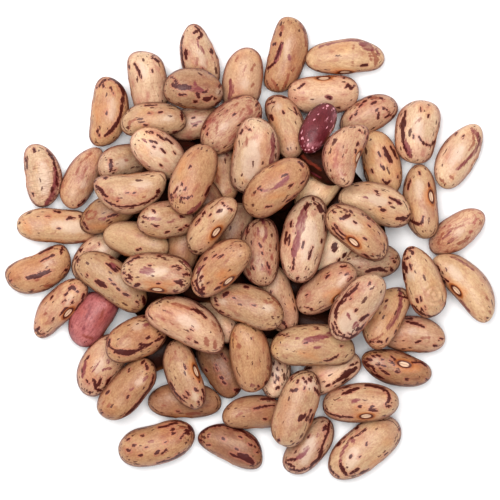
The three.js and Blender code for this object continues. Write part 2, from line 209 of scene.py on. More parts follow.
# The marks on each bean, as they lie seen from above: the kind where it changes, the width, then the
# points of the stroke. All are in steps of 0.2 mm, right and down from the corner of the 100 mm
# square round the heap.
STEP = 0.2
SQUARE = 100
KINDS = ("ink", "mauve", "rust", "pale", "amber", "pepper")
MARKS = """
A1: ink 3 46 150 52 158 55 168, mauve 7 54 168 55 182 53 194 45 204, ink 2 55 172 56 184, 2 25 159,
  2 32 194, 2 33 149, pale 14 42 165 44 190;
A2: ink 2 96 87 103 80 112 77, 5 112 78 119 82 122 88 123 94, 5 122 99, 3 122 103 120 115,
  4 120 114 117 121 111 130 105 135, 2 103 85, 2 110 87 113 93, 2 106 112, 3 97 131, 2 99 135,
  amber 5 94 103 97 120, pale 8 112 100 112 118;
A3: ink 3 134 60 137 65 140 73, 2 151 54 158 58, 2 128 64, 1 151 66, pale 8 140 60 143 72;
A4: rust 2 90 154 79 164 74 176, 2 84 168 80 182, ink 2 88 204 78 208, pale 6 82 186;
A4b: ink 4 101 162 101 173, rust 2 118 162, ink 2 105 172, pale 10 112 165;
A5: rust 3 135 119 129 122 128 129, ink 2 145 105 156 105, 2 148 113 151 113, 2 145 125, 2 160 112,
  3 181 112 182 120, 2 175 132, pale 8 168 118;
A6: ink 3 154 132 161 137, 3 163 136 170 141, 2 143 129 149 130, 2 145 137 152 139, 2 149 143,
  2 156 145 161 149, mauve 3 140 137, ink 2 157 162, 2 171 150, pale 16 152 146, amber 4 180 157 181 168,
  rust 1 178 158 178 170;
A7: ink 3 106 178, 4 97 186 102 190 104 193, 3 102 193 109 197, 2 127 192 130 193, 2 134 194 136 193,
  2 119 199 119 202, 4 160 190 158 193, 2 106 200 114 205, 2 114 205 124 207 135 206 148 202 158 196,
  rust 1 145 197, pale 8 135 184 150 184;
B1: ink 2 179 33 178 44 181 54 184 66, 3 195 25 199 28 201 33 197 37, 3 193 31 198 28,
  mauve 3 197 37 198 43 202 48 204 52, ink 4 185 48 185 56, rust 3 197 56 195 64, ink 4 211 49, 2 202 67,
  pale 7 200 50 203 63;
B2: pepper 10 170 82 176 92, ink 5 168 85 176 87 184 87, 3 170 79 173 84, mauve 7 182 87 190 88 197 90,
  3 189 80 190 86, ink 4 191 92 194 97, 2 197 92 202 90, 5 199 98 203 99 207 96, 2 211 98,
  2 217 101 214 103, 3 191 101, 2 174 94 180 94, 3 220 80 221 83 216 86, 2 168 75, 2 207 72 210 72,
  pale 7 217 92;
B3: mauve 5 231 77 232 88 229 96, rust 3 238 54 236 58, 2 255 61 252 67, 2 254 81 252 84, 1 246 62 243 72,
  pale 8 246 80;
B4: rust 2 237 104 232 107, ink 3 234 115 231 117, rust 2 242 111 238 117, ink 2 257 104, rust 3 256 110,
  3 216 124 215 135, ink 2 205 127 202 129, 2 206 134 206 136, pale 7 222 128;
B5: ink 2 282 41 279 50 277 57, mauve 5 282 43 279 52 275 61, ink 2 275 61 270 66 266 67,
  rust 3 300 22 305 31 306 44, 4 283 24 282 29, ink 2 281 32, 3 276 42 273 44, mauve 4 289 54 290 58,
  rust 2 295 66 293 70, 3 289 73 287 80 283 88, 3 272 78 276 84 279 90, pale 6 288 40 286 55;
B6: ink 3 270 99 273 97, 1 274 95 281 96 287 98, 2 267 104 275 104, 3 271 117 274 123, 2 285 117,
  2 295 110 298 118, amber 6 274 120 278 128 280 140, pale 6 280 110;
B7: mauve 5 273 130 274 149, 5 274 145 272 160 269 174, rust 3 264 164 259 174, ink 2 246 124 252 126,
  rust 2 248 133 248 141, ink 2 239 130 243 127, mauve 3 232 189, pale 18 254 140 250 170;
B8: ink 2 297 88 304 82, mauve 5 325 96 330 98, ink 2 326 96 329 98, 3 344 87 347 84 350 88 354 85,
  2 359 86, 1 343 76, 2 338 107, pale 8 310 100 330 100;
B10: ink 2 195 117, mauve 3 193 123 202 121, ink 2 196 125, pale 12 195 120;
C1: mauve 2 320 46 336 41 352 39 360 40, 9 362 43 367 45 372 48, rust 5 373 50 377 58 376 64,
  3 370 52 372 60, mauve 2 376 48 380 54, ink 2 362 65 368 64, 2 337 72 342 72, rust 1 354 45 353 65;
C2: ink 3 360 106 363 103, 2 369 97 372 95, 2 382 97 385 99, 2 373 103 377 101, 2 384 107 388 109,
  2 386 116 392 114, 2 379 117 380 112, 2 378 109, rust 4 372 97 380 97, ink 2 356 114 359 110, 2 366 100,
  2 351 118 353 115, rust 3 358 104;
C3: rust 2 350 128 357 126 362 130, ink 2 358 134 360 136, 2 369 140, 3 356 148, 2 354 154 354 158,
  rust 2 334 144, 2 344 157, 2 330 181 343 181, amber 5 360 155 358 165;
C4: ink 5 384 146 387 153 391 160, 3 391 145 395 152 397 157, 3 381 163 384 167, 2 372 169, 2 398 175,
  2 378 150 380 154, 3 383 178 386 182 390 179, 2 386 182 386 187, amber 4 374 145 372 160;
C5: ink 3 406 111 405 118, 6 404 118 403 130, 4 403 130 404 142, mauve 6 405 142 408 150 411 157,
  ink 2 403 142 407 152, 2 429 116, 2 421 110, rust 2 416 123 422 119, ink 2 414 137,
  2 419 137 424 144 431 146 436 141, pale 10 418 120 420 140, pepper 8 408 150 414 158;
C6: mauve 5 473 128 479 135 481 144, 4 481 141 475 152 468 160, 4 468 160 458 169,
  rust 3 474 133 475 142 470 150, amber 4 453 177, rust 2 451 176 454 178, ink 2 457 133, 2 464 136,
  rust 3 441 178 446 184, pale 12 462 148 454 160, pepper 8 476 134 480 144;
E1: ink 2 52 211 58 212, 2 43 216 47 216, 3 64 219 67 217 72 218, 3 77 216 83 219, 2 56 228,
  4 83 227 89 233, rust 2 74 242 83 241, amber 8 22 222 26 232, 4 34 240 60 242, pale 14 52 224 82 228;
E2: rust 1 86 213 92 210 97 212 95 217 88 219 86 214, ink 2 109 216 118 214, mauve 3 100 219 106 218,
  ink 3 113 215, amber 4 90 226 110 226, ink 2 84 222 88 229;
E3: ink 5 26 278 37 276 49 271, 2 40 261 53 255, 2 61 248 60 253, 3 65 270, rust 3 44 286 51 285, 2 31 290,
  ink 1 38 251 51 246, rust 3 36 280, ink 2 9 281, pale 6 46 263;
E4: pepper 12 72 288 78 298, 8 36 330 44 336, ink 3 72 285 76 283 81 288, 2 69 290, 2 66 298 69 296,
  4 76 297 75 299, 2 86 291 84 299, 2 82 300 79 307, 3 54 294 52 297, rust 2 47 311, ink 3 35 330, 2 39 327,
  rust 2 40 334 44 335, ink 3 63 312 68 305 75 304 77 308, pale 6 74 291 72 300;
E5: rust 4 84 335 92 338, 3 100 318 104 308;
E6: mauve 6 110 264 115 269, ink 3 106 263 111 266, 3 112 268 117 271, 2 116 267 119 269, 2 112 257,
  1 87 275, 6 96 281 105 286, 3 109 279 111 281, 2 114 284, 3 117 288 119 290, 3 123 293 129 296, 2 137 302,
  4 143 297 144 304, 2 76 257 77 262, pale 8 118 276 126 286;
E7: ink 2 99 243 99 245, 2 80 250, 2 76 256 75 259, 1 90 252 97 252, pale 8 104 248, mauve 3 75 266 77 270;
E8: ink 2 141 251 146 250;
E9: pepper 10 129 264 131 280, 9 184 266 186 284, rust 3 131 257 140 255, ink 2 134 259 140 257,
  2 130 262 134 260, 1 160 256, 1 151 265, mauve 7 143 271 149 271 154 271, 3 146 267 149 269,
  ink 3 130 275 133 280, 2 125 273, 2 127 278 129 281, 4 136 286 141 284, 2 160 283,
  amber 7 148 283 160 286 174 283, ink 2 173 267 178 266 182 268, mauve 4 185 262 191 266,
  ink 2 185 274 190 275, 4 176 281 182 282 183 286, 2 176 291, pale 8 166 270 150 274;
E10: ink 3 148 211 149 213, mauve 4 144 219 153 220, ink 2 140 218 144 220, mauve 2 162 223 168 221,
  ink 2 148 226 152 227, 2 176 217, 2 183 226, 2 176 230, 2 161 233 164 232, mauve 3 190 216,
  pale 7 146 216;
F0: pepper 14 184 196 178 204, ink 2 189 171, 2 181 188, 2 176 192, 2 184 193, 2 168 199, 2 172 201,
  2 174 195, mauve 3 175 199, ink 2 180 201 185 202 191 200, 3 213 189 206 199,
  mauve 4 200 205 192 213 188 216, amber 6 184 160 178 176, pale 9 178 192;
F1: pepper 9 226 202 220 206, 7 194 246 196 250, ink 3 223 206, 3 214 211, 2 205 211 208 209,
  1 226 199 236 206, mauve 3 192 251, ink 3 191 253 194 254, 1 198 222 203 216, pale 12 226 206;
F2: pepper 12 200 266 202 288, ink 2 220 252 216 255, 2 227 252 221 254, 3 208 257, mauve 4 202 266 200 271,
  ink 2 205 265, 3 206 273 203 276, 2 198 279, 4 206 286, 2 194 281 199 289 204 293,
  1 198 279 201 286 207 291, 3 218 287 223 284, 2 223 281 229 278 235 276, pale 8 202 270 203 282,
  amber 8 222 272 232 268;
F3: mauve 4 261 219 264 227, 3 265 230 266 240 263 246, 2 258 232 259 240, ink 2 242 218 245 226,
  2 259 249 261 252, 2 262 257 263 260, rust 3 247 272 250 278, ink 2 252 270 254 274, 2 267 268 269 273,
  rust 2 253 227, 2 255 239, 2 270 250, 3 272 262, pale 8 262 236, ink 1 248 225 247 236;
F4: mauve 3 258 189 266 191 275 188, 6 276 187 283 183 288 178, ink 2 281 177 287 174, 3 289 188 293 184,
  2 302 183, 2 266 207 272 206, rust 2 253 195, ink 1 299 162 303 167, 1 289 205 297 199, 2 258 189 262 191,
  amber 4 285 195 268 198;
F5: ink 5 307 205 305 212, mauve 9 304 212 300 226 298 238, 8 298 238 295 250 293 258,
  ink 2 293 262 292 272, 5 319 207 320 214, 3 314 205 325 214, 2 313 200, 3 286 234 285 246,
  2 289 238 288 248, 3 291 223 290 229, 2 303 245 301 252, 2 310 254 308 262, 2 312 250 309 256, 2 321 243,
  3 297 280, 2 325 219 325 232, pale 1 299 228, 1 297 238, 1 298 246, 18 309 228 306 258,
  pepper 10 310 204 322 210, 8 288 268 300 278;
F6: ink 7 338 239 337 245, 4 346 252, 3 341 256, pale 12 334 250;
F7: ink 2 344 264 349 264, 2 351 270, 2 354 275, 2 331 274, 2 329 274 333 272, 2 310 293, 1 308 305 315 307,
  amber 6 330 292 342 286, pale 6 350 272 344 282;
F8: ink 5 229 293 225 296, 2 235 298, 3 222 312, 2 218 305, 2 216 298 217 302, 2 245 287 249 288,
  2 253 305 257 306, rust 2 265 301 269 303 274 302, 1 230 315, 2 274 297 280 304, pale 6 224 302,
  8 270 308;
F9: ink 3 284 322, 2 281 320, rust 2 282 294, ink 2 271 289 270 291, 2 286 326, rust 2 276 306;
F10: rust 3 163 298 174 298, 3 172 303 183 306 192 309, ink 3 191 308 203 314, 3 201 313 206 318,
  rust 3 212 321 216 326, 2 220 325 221 331, 1 166 311 172 313, 2 163 319, 2 172 323, ink 2 192 329,
  3 189 338, 3 196 342, rust 6 206 338 207 345, 4 215 341 215 348, amber 3 174 304 190 308,
  pale 12 180 318 196 326;
F12: mauve 3 227 159, pale 8 222 160, amber 4 219 174 219 190, rust 1 217 176 217 190;
F16: rust 1 306 158 316 166 328 174, 1 303 163 312 172, mauve 1 314 174 326 181;
G0: mauve 3 361 196, ink 1 372 190, 2 374 193, mauve 3 341 203, ink 2 386 196 399 203,
  mauve 6 394 200 397 202, ink 4 379 209, 2 386 202, 2 407 197, 4 394 218 400 217 406 218,
  3 400 221 410 214, 2 412 208, pale 12 366 196 380 200;
G1: pepper 9 334 208 344 212, ink 4 337 217 346 213, 2 348 210, 2 343 209, 2 331 210, 2 335 205,
  2 365 216 369 217, 2 374 219, 2 351 220, 2 366 223, 2 349 235, 3 361 236, rust 2 371 253,
  ink 2 361 252 367 256, 1 331 222 336 229 344 236, 1 330 226 334 232 341 237, pale 12 342 218 354 225,
  amber 5 350 237 357 237;
G2: ink 3 411 181 409 191, 2 430 187, 2 420 175, 3 424 220 422 227 417 226 410 221, amber 5 427 196 428 206,
  pale 8 420 184 420 200;
G3: rust 2 441 243 446 232 456 226 468 222, mauve 3 447 236 455 229, rust 4 462 242 470 238, 2 483 222,
  2 472 236, 3 457 250, 3 449 250, mauve 4 452 240 458 236, pale 7 464 230;
G4: pepper 7 444 266 444 280, mauve 3 452 257 463 262 475 270, ink 2 448 281, 2 438 267, 2 440 270,
  2 444 283, 2 442 277, mauve 2 458 304 469 313, rust 2 488 299, 2 491 313, amber 7 456 287 466 292,
  pale 10 452 268 460 278;
G5: ink 2 394 251 404 246 413 247, 3 412 251, 2 408 256 405 258, 5 402 262 406 270, 3 409 262 411 268,
  3 397 274 400 280, 2 420 295 421 299, 3 417 299, 2 425 306, 3 422 308,
  3 411 305 422 313 434 317 445 310 447 303, pale 8 404 266 412 276;
G6: ink 4 361 272 373 269 384 272, 4 387 268 391 271, 2 392 262, 2 389 259, 3 358 256;
G7: pepper 14 336 330 358 338, 8 352 284 344 294, ink 3 372 279, 3 346 294 355 287 361 280,
  4 348 296 340 301 337 308 337 316, 2 358 306, mauve 3 349 308 352 315, ink 4 369 312 361 318,
  mauve 6 357 322, ink 4 359 327, 2 353 294, 3 343 335 352 340 360 337, 2 340 330 348 335,
  2 349 331 354 334, 2 333 322 337 333, 2 336 320 340 329, 2 363 330 366 326, pale 22 352 312 350 328;
G8: mauve 5 399 289 400 301 398 312 394 321 388 330 384 334, ink 1 397 299 408 300, rust 3 383 312,
  ink 1 384 305, rust 2 368 344 375 343 381 338, ink 2 368 346 380 346, 2 385 344, 2 394 335;
G9: ink 3 408 319 414 319, 3 408 322 417 324 426 327, 3 418 343 423 341, rust 2 424 338 431 338,
  ink 2 443 339, 2 437 346, pale 5 414 332;
H1: mauve 4 86 360 83 376, 2 101 359 93 370, 3 108 361 110 358, 2 104 368 111 366, ink 2 89 356,
  4 95 378 96 388, 2 102 376 99 384, 3 111 376 106 384, 2 96 388 104 392, 2 87 379 89 382, 2 90 392,
  pale 12 100 364, pepper 10 98 386 106 390;
H2: ink 2 104 340 105 347 111 353, 6 111 353 119 355 130 354, 3 130 354 140 349 148 345, 3 152 343 161 338,
  2 136 347 141 346, 2 142 341 145 339, mauve 4 139 328 144 326, ink 2 142 318, pale 10 134 328;
H3: ink 2 154 374 153 382 150 391, 3 150 391 144 402 135 411 125 417, 3 147 363 149 368, 2 144 361,
  2 130 369, mauve 3 145 379 149 375, 2 132 388 135 386, ink 1 130 395, 3 107 393 110 390, rust 2 104 402,
  2 110 404, ink 2 102 413, pepper 8 150 364 148 374, pale 8 142 380;
H4: rust 4 186 415 199 414, 2 163 406, ink 2 177 412;
H5: rust 2 176 354, ink 2 186 369, 3 199 377 200 383, 4 195 390 198 392, 3 187 393 190 396,
  2 184 397 187 399, 1 169 384 174 394 183 401, 2 203 391 205 396, 2 202 400, 2 206 402, 2 192 407,
  2 199 404, amber 4 191 364 191 376, pale 7 196 398;
H6: pepper 12 180 424 192 432, ink 3 158 428 168 426 178 421, 3 172 430, 5 186 431 188 434,
  4 191 424 194 430, 3 173 434, 1 180 439 184 434, 3 155 455 159 451, 2 162 454 166 450, 2 177 456,
  2 165 443, mauve 3 151 442, ink 3 156 464 174 461 186 456, 3 128 440, 3 134 446, 3 126 450 130 452,
  2 142 436, 2 146 448, 2 140 456, rust 4 182 428;
H7: pepper 10 200 440 206 436, ink 2 199 433 208 428 223 426, 3 223 426 242 432 257 443 264 452,
  2 209 435 208 438, 3 224 440, 2 241 438, 2 249 445 252 446, 2 257 453, 3 200 441, 3 207 446 210 446,
  2 237 450, 7 239 456 247 459 253 464, 3 231 454 237 458;
I1: ink 2 216 366 218 371, 3 220 378 223 380, 2 223 383 226 385, 2 206 371, 2 223 356, 2 226 360,
  4 235 391 242 393, pale 5 226 354;
I2: rust 1 252 332, 2 236 332, 4 238 340, 2 246 351, mauve 4 251 381 253 384, ink 2 258 384,
  4 266 380 270 387, rust 3 268 365, 2 233 330;
I3: pepper 30 276 360 277 386, ink 2 274 366, 2 278 372, 2 273 378, 2 279 382, 3 276 392 280 390, 2 280 366,
  2 275 385, pale 12 277 372;
I4: ink 2 257 400 268 400 275 397, 2 247 410 259 407 271 406, pale 5 258 404 272 402,
  rust 3 230 417 235 414, ink 2 260 420, rust 3 272 401;
J1: ink 2 277 332, 2 314 328, mauve 2 294 338, 6 300 341 313 338 328 334, ink 2 302 343,
  mauve 3 310 347 316 347, ink 3 322 360 328 360 336 355, 1 339 346, 2 283 335, amber 5 296 352 316 360;
J2: ink 5 338 381 347 376 357 368, 4 342 376 351 370, 2 334 384 339 380, 2 343 383 349 379,
  2 351 366 358 363, 3 355 354 357 351, 3 329 386, 2 307 369 312 368;
J3: pepper 13 300 376 318 386, ink 2 303 377 307 381, 2 309 378 311 380, 2 317 377 320 383,
  3 315 387 321 395, 2 298 381, 2 305 387, 3 292 390 299 388, 5 300 419 305 414, 3 309 414 307 420,
  2 311 410, 2 314 415 310 422, 3 279 440, 2 291 377, pale 12 305 380 314 386;
J4: ink 4 326 427 324 431, 3 330 422 328 433 323 446, 4 323 446 320 458 310 468, 3 310 468 299 472 290 470,
  mauve 5 308 447 305 454 296 460, ink 3 296 460 288 461, 2 309 437, mauve 2 318 436, ink 3 286 463 294 468,
  pale 12 312 440 304 462;
J5: ink 4 347 394 363 388, mauve 4 358 402 365 400, ink 2 366 406, 3 369 383 379 384 387 387 393 393,
  3 393 393 395 399 392 404, 2 324 401 325 409 333 414 345 417 357 417, 4 380 406 377 409 383 410,
  3 394 406, 2 340 388 352 384, amber 5 362 407 374 406;
J6: pepper 12 340 466 356 476, ink 2 366 430 359 435 351 439, mauve 3 351 439 345 448 341 456 340 465,
  ink 4 340 464 343 472 347 476, mauve 4 353 442, ink 4 339 445, 2 341 436, 3 354 427 357 426,
  3 350 459 352 456, 2 359 458, 4 357 471, 4 352 474, 2 366 446 367 444, 2 386 455, 2 401 430,
  3 360 475 369 471, 2 331 471 339 478, amber 8 372 466 384 458, pale 14 354 452 350 466;
J7: pepper 18 370 362 372 374, ink 2 412 363 422 363 427 366, 2 392 357 398 363, 2 390 361 395 365,
  4 365 363, 4 370 360, 4 368 366, 2 379 356, 2 382 360, 2 378 365, 3 373 367 375 372, 2 380 369 389 375,
  3 375 375 384 379, 3 398 372, 2 407 380, 2 428 380, 2 374 357, 2 384 366, amber 12 398 366 418 368,
  pale 10 376 362;
B9: pale 1 306 150 318 148, 2 332 124 334 116
"""


def beans_of(layer, text):
    """The given rows of a layer, one bean a line, with what holds where a row says nothing."""
    beans = []
    for line in text.strip().splitlines():
        label, *sizes, skin = line.split()[:7]
        extras = line.split()[7:]
        row = dict(USUAL, label=label, layer=layer, skin=skin)
        row.update(zip(SIZES, map(float, sizes)))
        for key, value in zip(extras[::2], extras[1::2]):
            row[key] = value if key == "form" else float(value)
        row.setdefault("show", row["roll"])
        beans.append(SimpleNamespace(**row))
    return beans


rows = [row for layer, text in LAYERS.items() for row in beans_of(layer, text)]
marks = dict(bean.split(":") for bean in MARKS.replace("\n", "").split(";"))

# ---------------------------------------------------------------- settling

ROUNDS = 400
CALM = 60                   # the last of them, without falling or pulling back
PINNED = 80                 # rounds after them, when each bean lies over its row's place again
RECHECK = 10                # rounds between two searches for neighbours
FALL = 0.03                 # millimetres a round
HOLD = 0.1                  # share of the way back to the row's place in a round
YAW_HOLD = 1.5              # how much firmer its heading is held
LEVEL = 0.1                 # share of a slope over STEEP that is taken back
STEEP = 0.3
REACH = 17.5                # beans further apart than this never touch
CLOSE = 2.0                 # spheres nearer than this may touch before the next search
KEEP_UP = 0.15              # how far upwards a higher bean is always pushed
RELAX = 0.9                 # share of a push that is followed in a round
CROWD = 1.6                 # how it is divided where a bean is pushed by many
LEAST = 0.25

SPHERES = 6                 # pairs along a bean, as its neighbours feel it
SNUG = 0.96                 # their size over the thickness
END_IN = 0.46               # how far in the last pair lies, over the thickness
END_THIN = 0.14             # how much thinner it is
END_BACK = 2.2              # how far its ends lie back from the bow of the middle

SLOPES = np.arange(-0.4, 0.405, 0.01)       # tried for each bean as it is laid
SLOPE_COST = 0.8            # millimetres of height that a slope has to save
NEAR = 0.6                  # how near to a sphere a bean rests on it, over both radii
SUNK = 0.9                  # how high it rests there


def turned(heading, slope, roll):
    """The turn of a bean: heading about Z, then its slope, then its roll about its own length."""
    ch, sh = math.cos(heading), math.sin(heading)
    cp, sp = math.cos(slope), math.sin(slope)
    cr, sr = math.cos(-roll), math.sin(-roll)
    about_z = np.array([[ch, -sh, 0], [sh, ch, 0], [0, 0, 1]])
    about_y = np.array([[cp, 0, -sp], [0, 1, 0], [sp, 0, cp]])
    about_x = np.array([[1, 0, 0], [0, cr, -sr], [0, sr, cr]])
    return about_z @ about_y @ about_x


def spheres_of(length, width):
    """A bean as its neighbours feel it: two rows of spheres along its bowed middle."""
    thick = THICKNESS * width
    end = length / 2 - END_IN * thick
    at, radius = [], []
    for i in range(SPHERES):
        t = -1 + 2 / (SPHERES - 1) * i
        full = 1 - END_THIN * abs(t) ** 3
        bow = CURVE * width * (1 - END_BACK * t * t)
        r = SNUG * thick / 2 * full
        aside = width / 2 * full - r
        for side in (-1, 1):
            at.append((t * end, bow + side * aside, 0))
            radius.append(r)
    return np.array(at), np.array(radius)


def small_turns(v):
    """A turn matrix for each row of v, about it and by its length."""
    angle = np.linalg.norm(v, axis=1)
    k = v / np.maximum(angle, 1e-9)[:, None]
    cross = np.zeros((len(v), 3, 3))
    cross[:, 0, 1], cross[:, 0, 2] = -k[:, 2], k[:, 1]
    cross[:, 1, 0], cross[:, 1, 2] = k[:, 2], -k[:, 0]
    cross[:, 2, 0], cross[:, 2, 1] = -k[:, 1], k[:, 0]
    s, c = np.sin(angle)[:, None, None], np.cos(angle)[:, None, None]
    return np.eye(3)[None] + s * cross + (1 - c) * (cross @ cross)


def lay(rows, levels, local, radii):
    """Lays the beans one after another, each as low as the ones before let it lie."""
    places, turns, laid = [], [], []
    for i, row in enumerate(rows):
        heading, roll = math.radians(row.heading), math.radians(row.roll)
        place, turn = np.array([row.x, row.y, 0.0]), turned(heading, 0, roll)
        here = place + local[i] @ turn.T
        need = radii[i] - here[:, 2]
        if levels[i] > 0:
            other = np.concatenate([o for o, _ in laid])
            other_r = np.concatenate([r for _, r in laid])
            away = np.hypot(here[:, None, 0] - other[None, :, 0], here[:, None, 1] - other[None, :, 1])
            both = radii[i][:, None] + other_r[None, :]
            away = away / (NEAR * both)
            lift = other[None, :, 2] + SUNK * both * np.sqrt(np.clip(1 - away * away, 0, 1))
            lift = np.where(away < 1, lift, -1e9).max(axis=1) - here[:, 2]
            need = np.maximum(need, lift)
        best = math.inf
        for slope in SLOPES:
            height = np.max(need - slope * local[i][:, 0])
            if height + SLOPE_COST * abs(slope) < best:
                best = height + SLOPE_COST * abs(slope)
                place = np.array([row.x, row.y, height])
                turn = turned(heading, math.atan(slope), roll)
        places.append(place)
        turns.append(turn)
        laid.append((place + local[i] @ turn.T, radii[i]))
    return np.array(places), np.array(turns)


def settle(rows, levels):
    """Lets the laid beans push one another apart and sink together. Returns places and turns."""
    both = [spheres_of(row.length, row.width) for row in rows]
    local, radii = np.array([b[0] for b in both]), np.array([b[1] for b in both])
    place, turn = lay(rows, levels, local, radii)
    count, each = local.shape[:2]
    length = np.array([row.length for row in rows])
    width = np.array([row.width for row in rows])
    thick = THICKNESS * width
    mass = length * width ** 2 / 800
    inertia = np.stack([width ** 2 + thick ** 2, length ** 2 + thick ** 2, length ** 2 + width ** 2], 1) / 20
    anchor = np.array([(row.x, row.y) for row in rows])
    heading = np.radians([row.heading for row in rows])
    roll = np.radians([row.roll for row in rows])
    owner, r = np.repeat(np.arange(count), each), radii.ravel()
    for step in range(ROUNDS + PINNED):
        w = (place[:, None] + np.einsum("nij,nsj->nsi", turn, local)).reshape(-1, 3)
        if step % RECHECK == 0:
            apart = np.linalg.norm(place[:, None] - place[None], axis=2)
            one, two = np.where(np.triu(apart < REACH, 1))
            grid = np.indices((each, each)).reshape(2, -1)
            i = (one[:, None] * each + grid[0]).ravel()
            j = (two[:, None] * each + grid[1]).ravel()
            near = np.linalg.norm(w[i] - w[j], axis=1) < r[i] + r[j] + CLOSE
            i, j = i[near], j[near]
        gap = w[i] - w[j]
        away = np.linalg.norm(gap, axis=1)
        deep = r[i] + r[j] - away
        hit = deep > 0
        a, b, deep = i[hit], j[hit], deep[hit]
        push = gap[hit] / np.maximum(away[hit], 1e-6)[:, None]
        up = np.sign(levels[owner[a]] - levels[owner[b]])
        flat = (up != 0) & (push[:, 2] * up < KEEP_UP)
        push[flat, 2] = (up * KEEP_UP)[flat]
        push /= np.linalg.norm(push, axis=1)[:, None]
        touch = w[b] + push * r[b][:, None]
        soft = np.einsum("nij,nj,nkj->nik", turn, 1 / (inertia * mass[:, None]), turn)
        shift, spin, hits = np.zeros((count, 3)), np.zeros((count, 3)), np.zeros(count)

        def respond(body, point, normal):
            lever = np.cross(point - place[body], normal)
            twist = np.einsum("nij,nj->ni", soft[body], lever)
            return twist, 1 / mass[body] + (lever * twist).sum(1)

        twist_a, give_a = respond(owner[a], touch, push)
        twist_b, give_b = respond(owner[b], touch, push)
        size = deep / (give_a + give_b)
        for body, twist, sign in ((owner[a], twist_a, 1), (owner[b], twist_b, -1)):
            np.add.at(shift, body, sign * push * (size / mass[body])[:, None])
            np.add.at(spin, body, sign * twist * size[:, None])
            np.add.at(hits, body, 1)
        low = np.where(r > w[:, 2])[0]
        body, normal = owner[low], np.tile([0.0, 0.0, 1.0], (len(low), 1))
        twist, give = respond(body, w[low] - normal * r[low][:, None], normal)
        size = (r[low] - w[low, 2]) / give
        np.add.at(shift, body, normal * (size / mass[body])[:, None])
        np.add.at(spin, body, twist * size[:, None])
        np.add.at(hits, body, 1)
        share = RELAX * np.maximum(CROWD / np.maximum(hits, 1), LEAST)[:, None]
        place += shift * share
        turn = small_turns(spin * share) @ turn
        calm, pinned = step >= ROUNDS - CALM, step >= ROUNDS
        hold = 1.0 if pinned else 0.0 if calm else HOLD
        place[:, 2] -= FALL / 2 if pinned else 0.0 if calm else FALL
        place[:, :2] += hold * (anchor - place[:, :2])
        along, face = turn[:, :, 0], turn[:, :, 2]
        side = np.cross([0.0, 0.0, 1.0], along)
        side /= np.linalg.norm(side, axis=1)[:, None]
        top = np.cross(along, side)
        yaw = heading - np.arctan2(along[:, 1], along[:, 0])
        lean = roll - np.arctan2((face * side).sum(1), (face * top).sum(1))
        yaw, lean = np.arctan2(np.sin(yaw), np.cos(yaw)), np.arctan2(np.sin(lean), np.cos(lean))
        slope = np.arcsin(np.clip(along[:, 2], -1, 1))
        back = np.outer(min(YAW_HOLD * hold, 1) * yaw, [0.0, 0.0, 1.0]) - hold * along * lean[:, None]
        back += side * (LEVEL * np.sign(slope) * np.maximum(np.abs(slope) - STEEP, 0))[:, None]
        turn = small_turns(back) @ turn
    return place, turn


# ---------------------------------------------------------------- the beans that are copied

def edit_mesh(piece):
    bpy.context.view_layer.objects.active = piece
    bpy.ops.object.mode_set(mode="EDIT")
    bpy.ops.mesh.select_mode(type="VERT")
    return bmesh.from_edit_mesh(piece.data)


def pick(piece, mesh, test):
    """Selects the vertices whose place passes the test."""
    for vertex in mesh.verts:
        vertex.select = test(vertex.co)
    mesh.select_flush_mode()
    bmesh.update_edit_mesh(piece.data)


def outline(t, blunt, full):
    """A bean's half width at t along its half length, over its half width in the middle."""
    return max(1 - abs(t) ** blunt, 0) ** (1 / full)


def stations(count, blunt, full):
    """Where the rings of a bean go, so that they are evenly far apart along its skin."""
    t = -np.cos(np.linspace(0, math.pi, 2001))
    y = np.maximum(1 - np.abs(t) ** blunt, 0) ** (1 / full)
    steps = np.hypot(np.diff(t * LENGTH), np.diff(y * WIDTH))
    run = np.concatenate([[0], np.cumsum(steps)])
    return np.interp(np.linspace(0, run[-1], count + 1)[1:-1], run, t)


def model_bean(name, form, around, along):
    """A ball drawn out ring by ring into a bean, with its hilum on -Y."""
    blunt, full = FORMS[form]
    bpy.ops.mesh.primitive_uv_sphere_add(segments=around, ring_count=along, radius=1,
                                         rotation=(0, math.pi / 2, 0))
    bean = bpy.context.active_object
    bean.name = name
    bpy.ops.object.transform_apply(location=False, rotation=True, scale=False)
    mesh = edit_mesh(bean)
    middle = (0, 0, 0)
    rings = stations(along, blunt, full)
    balls = [-math.cos(math.pi * (i + 1) / along) for i in range(len(rings))]
    for ball, t in zip(balls, rings):
        pick(bean, mesh, lambda co: abs(co.x - ball) < 1e-4)
        thin = outline(t, blunt, full) / math.sqrt(1 - ball * ball)
        bpy.ops.transform.resize(value=(1, thin, thin), center_override=middle)
        bpy.ops.transform.translate(value=(ASIDE + t - ball, BOW * 2 * (1 - 3 * t * t), 0))
    pick(bean, mesh, lambda co: abs(co.x) < 1.5)
    bpy.ops.transform.translate(value=(ASIDE, -BOW * 4, 0))
    bpy.ops.mesh.select_all(action="SELECT")
    bpy.ops.transform.translate(value=(-ASIDE, 0, 0))
    size = (LENGTH / 2 * MM, WIDTH / 2 * MM, WIDTH / 2 * THICKNESS * MM)
    bpy.ops.transform.resize(value=size, center_override=middle)
    bpy.ops.object.mode_set(mode="OBJECT")
    bpy.ops.object.shade_smooth()
    bean.data.uv_layers[0].name = "OFBake"
    bpy.ops.object.select_all(action="DESELECT")
    return bean


# ---------------------------------------------------------------- each bean's own shape and marks

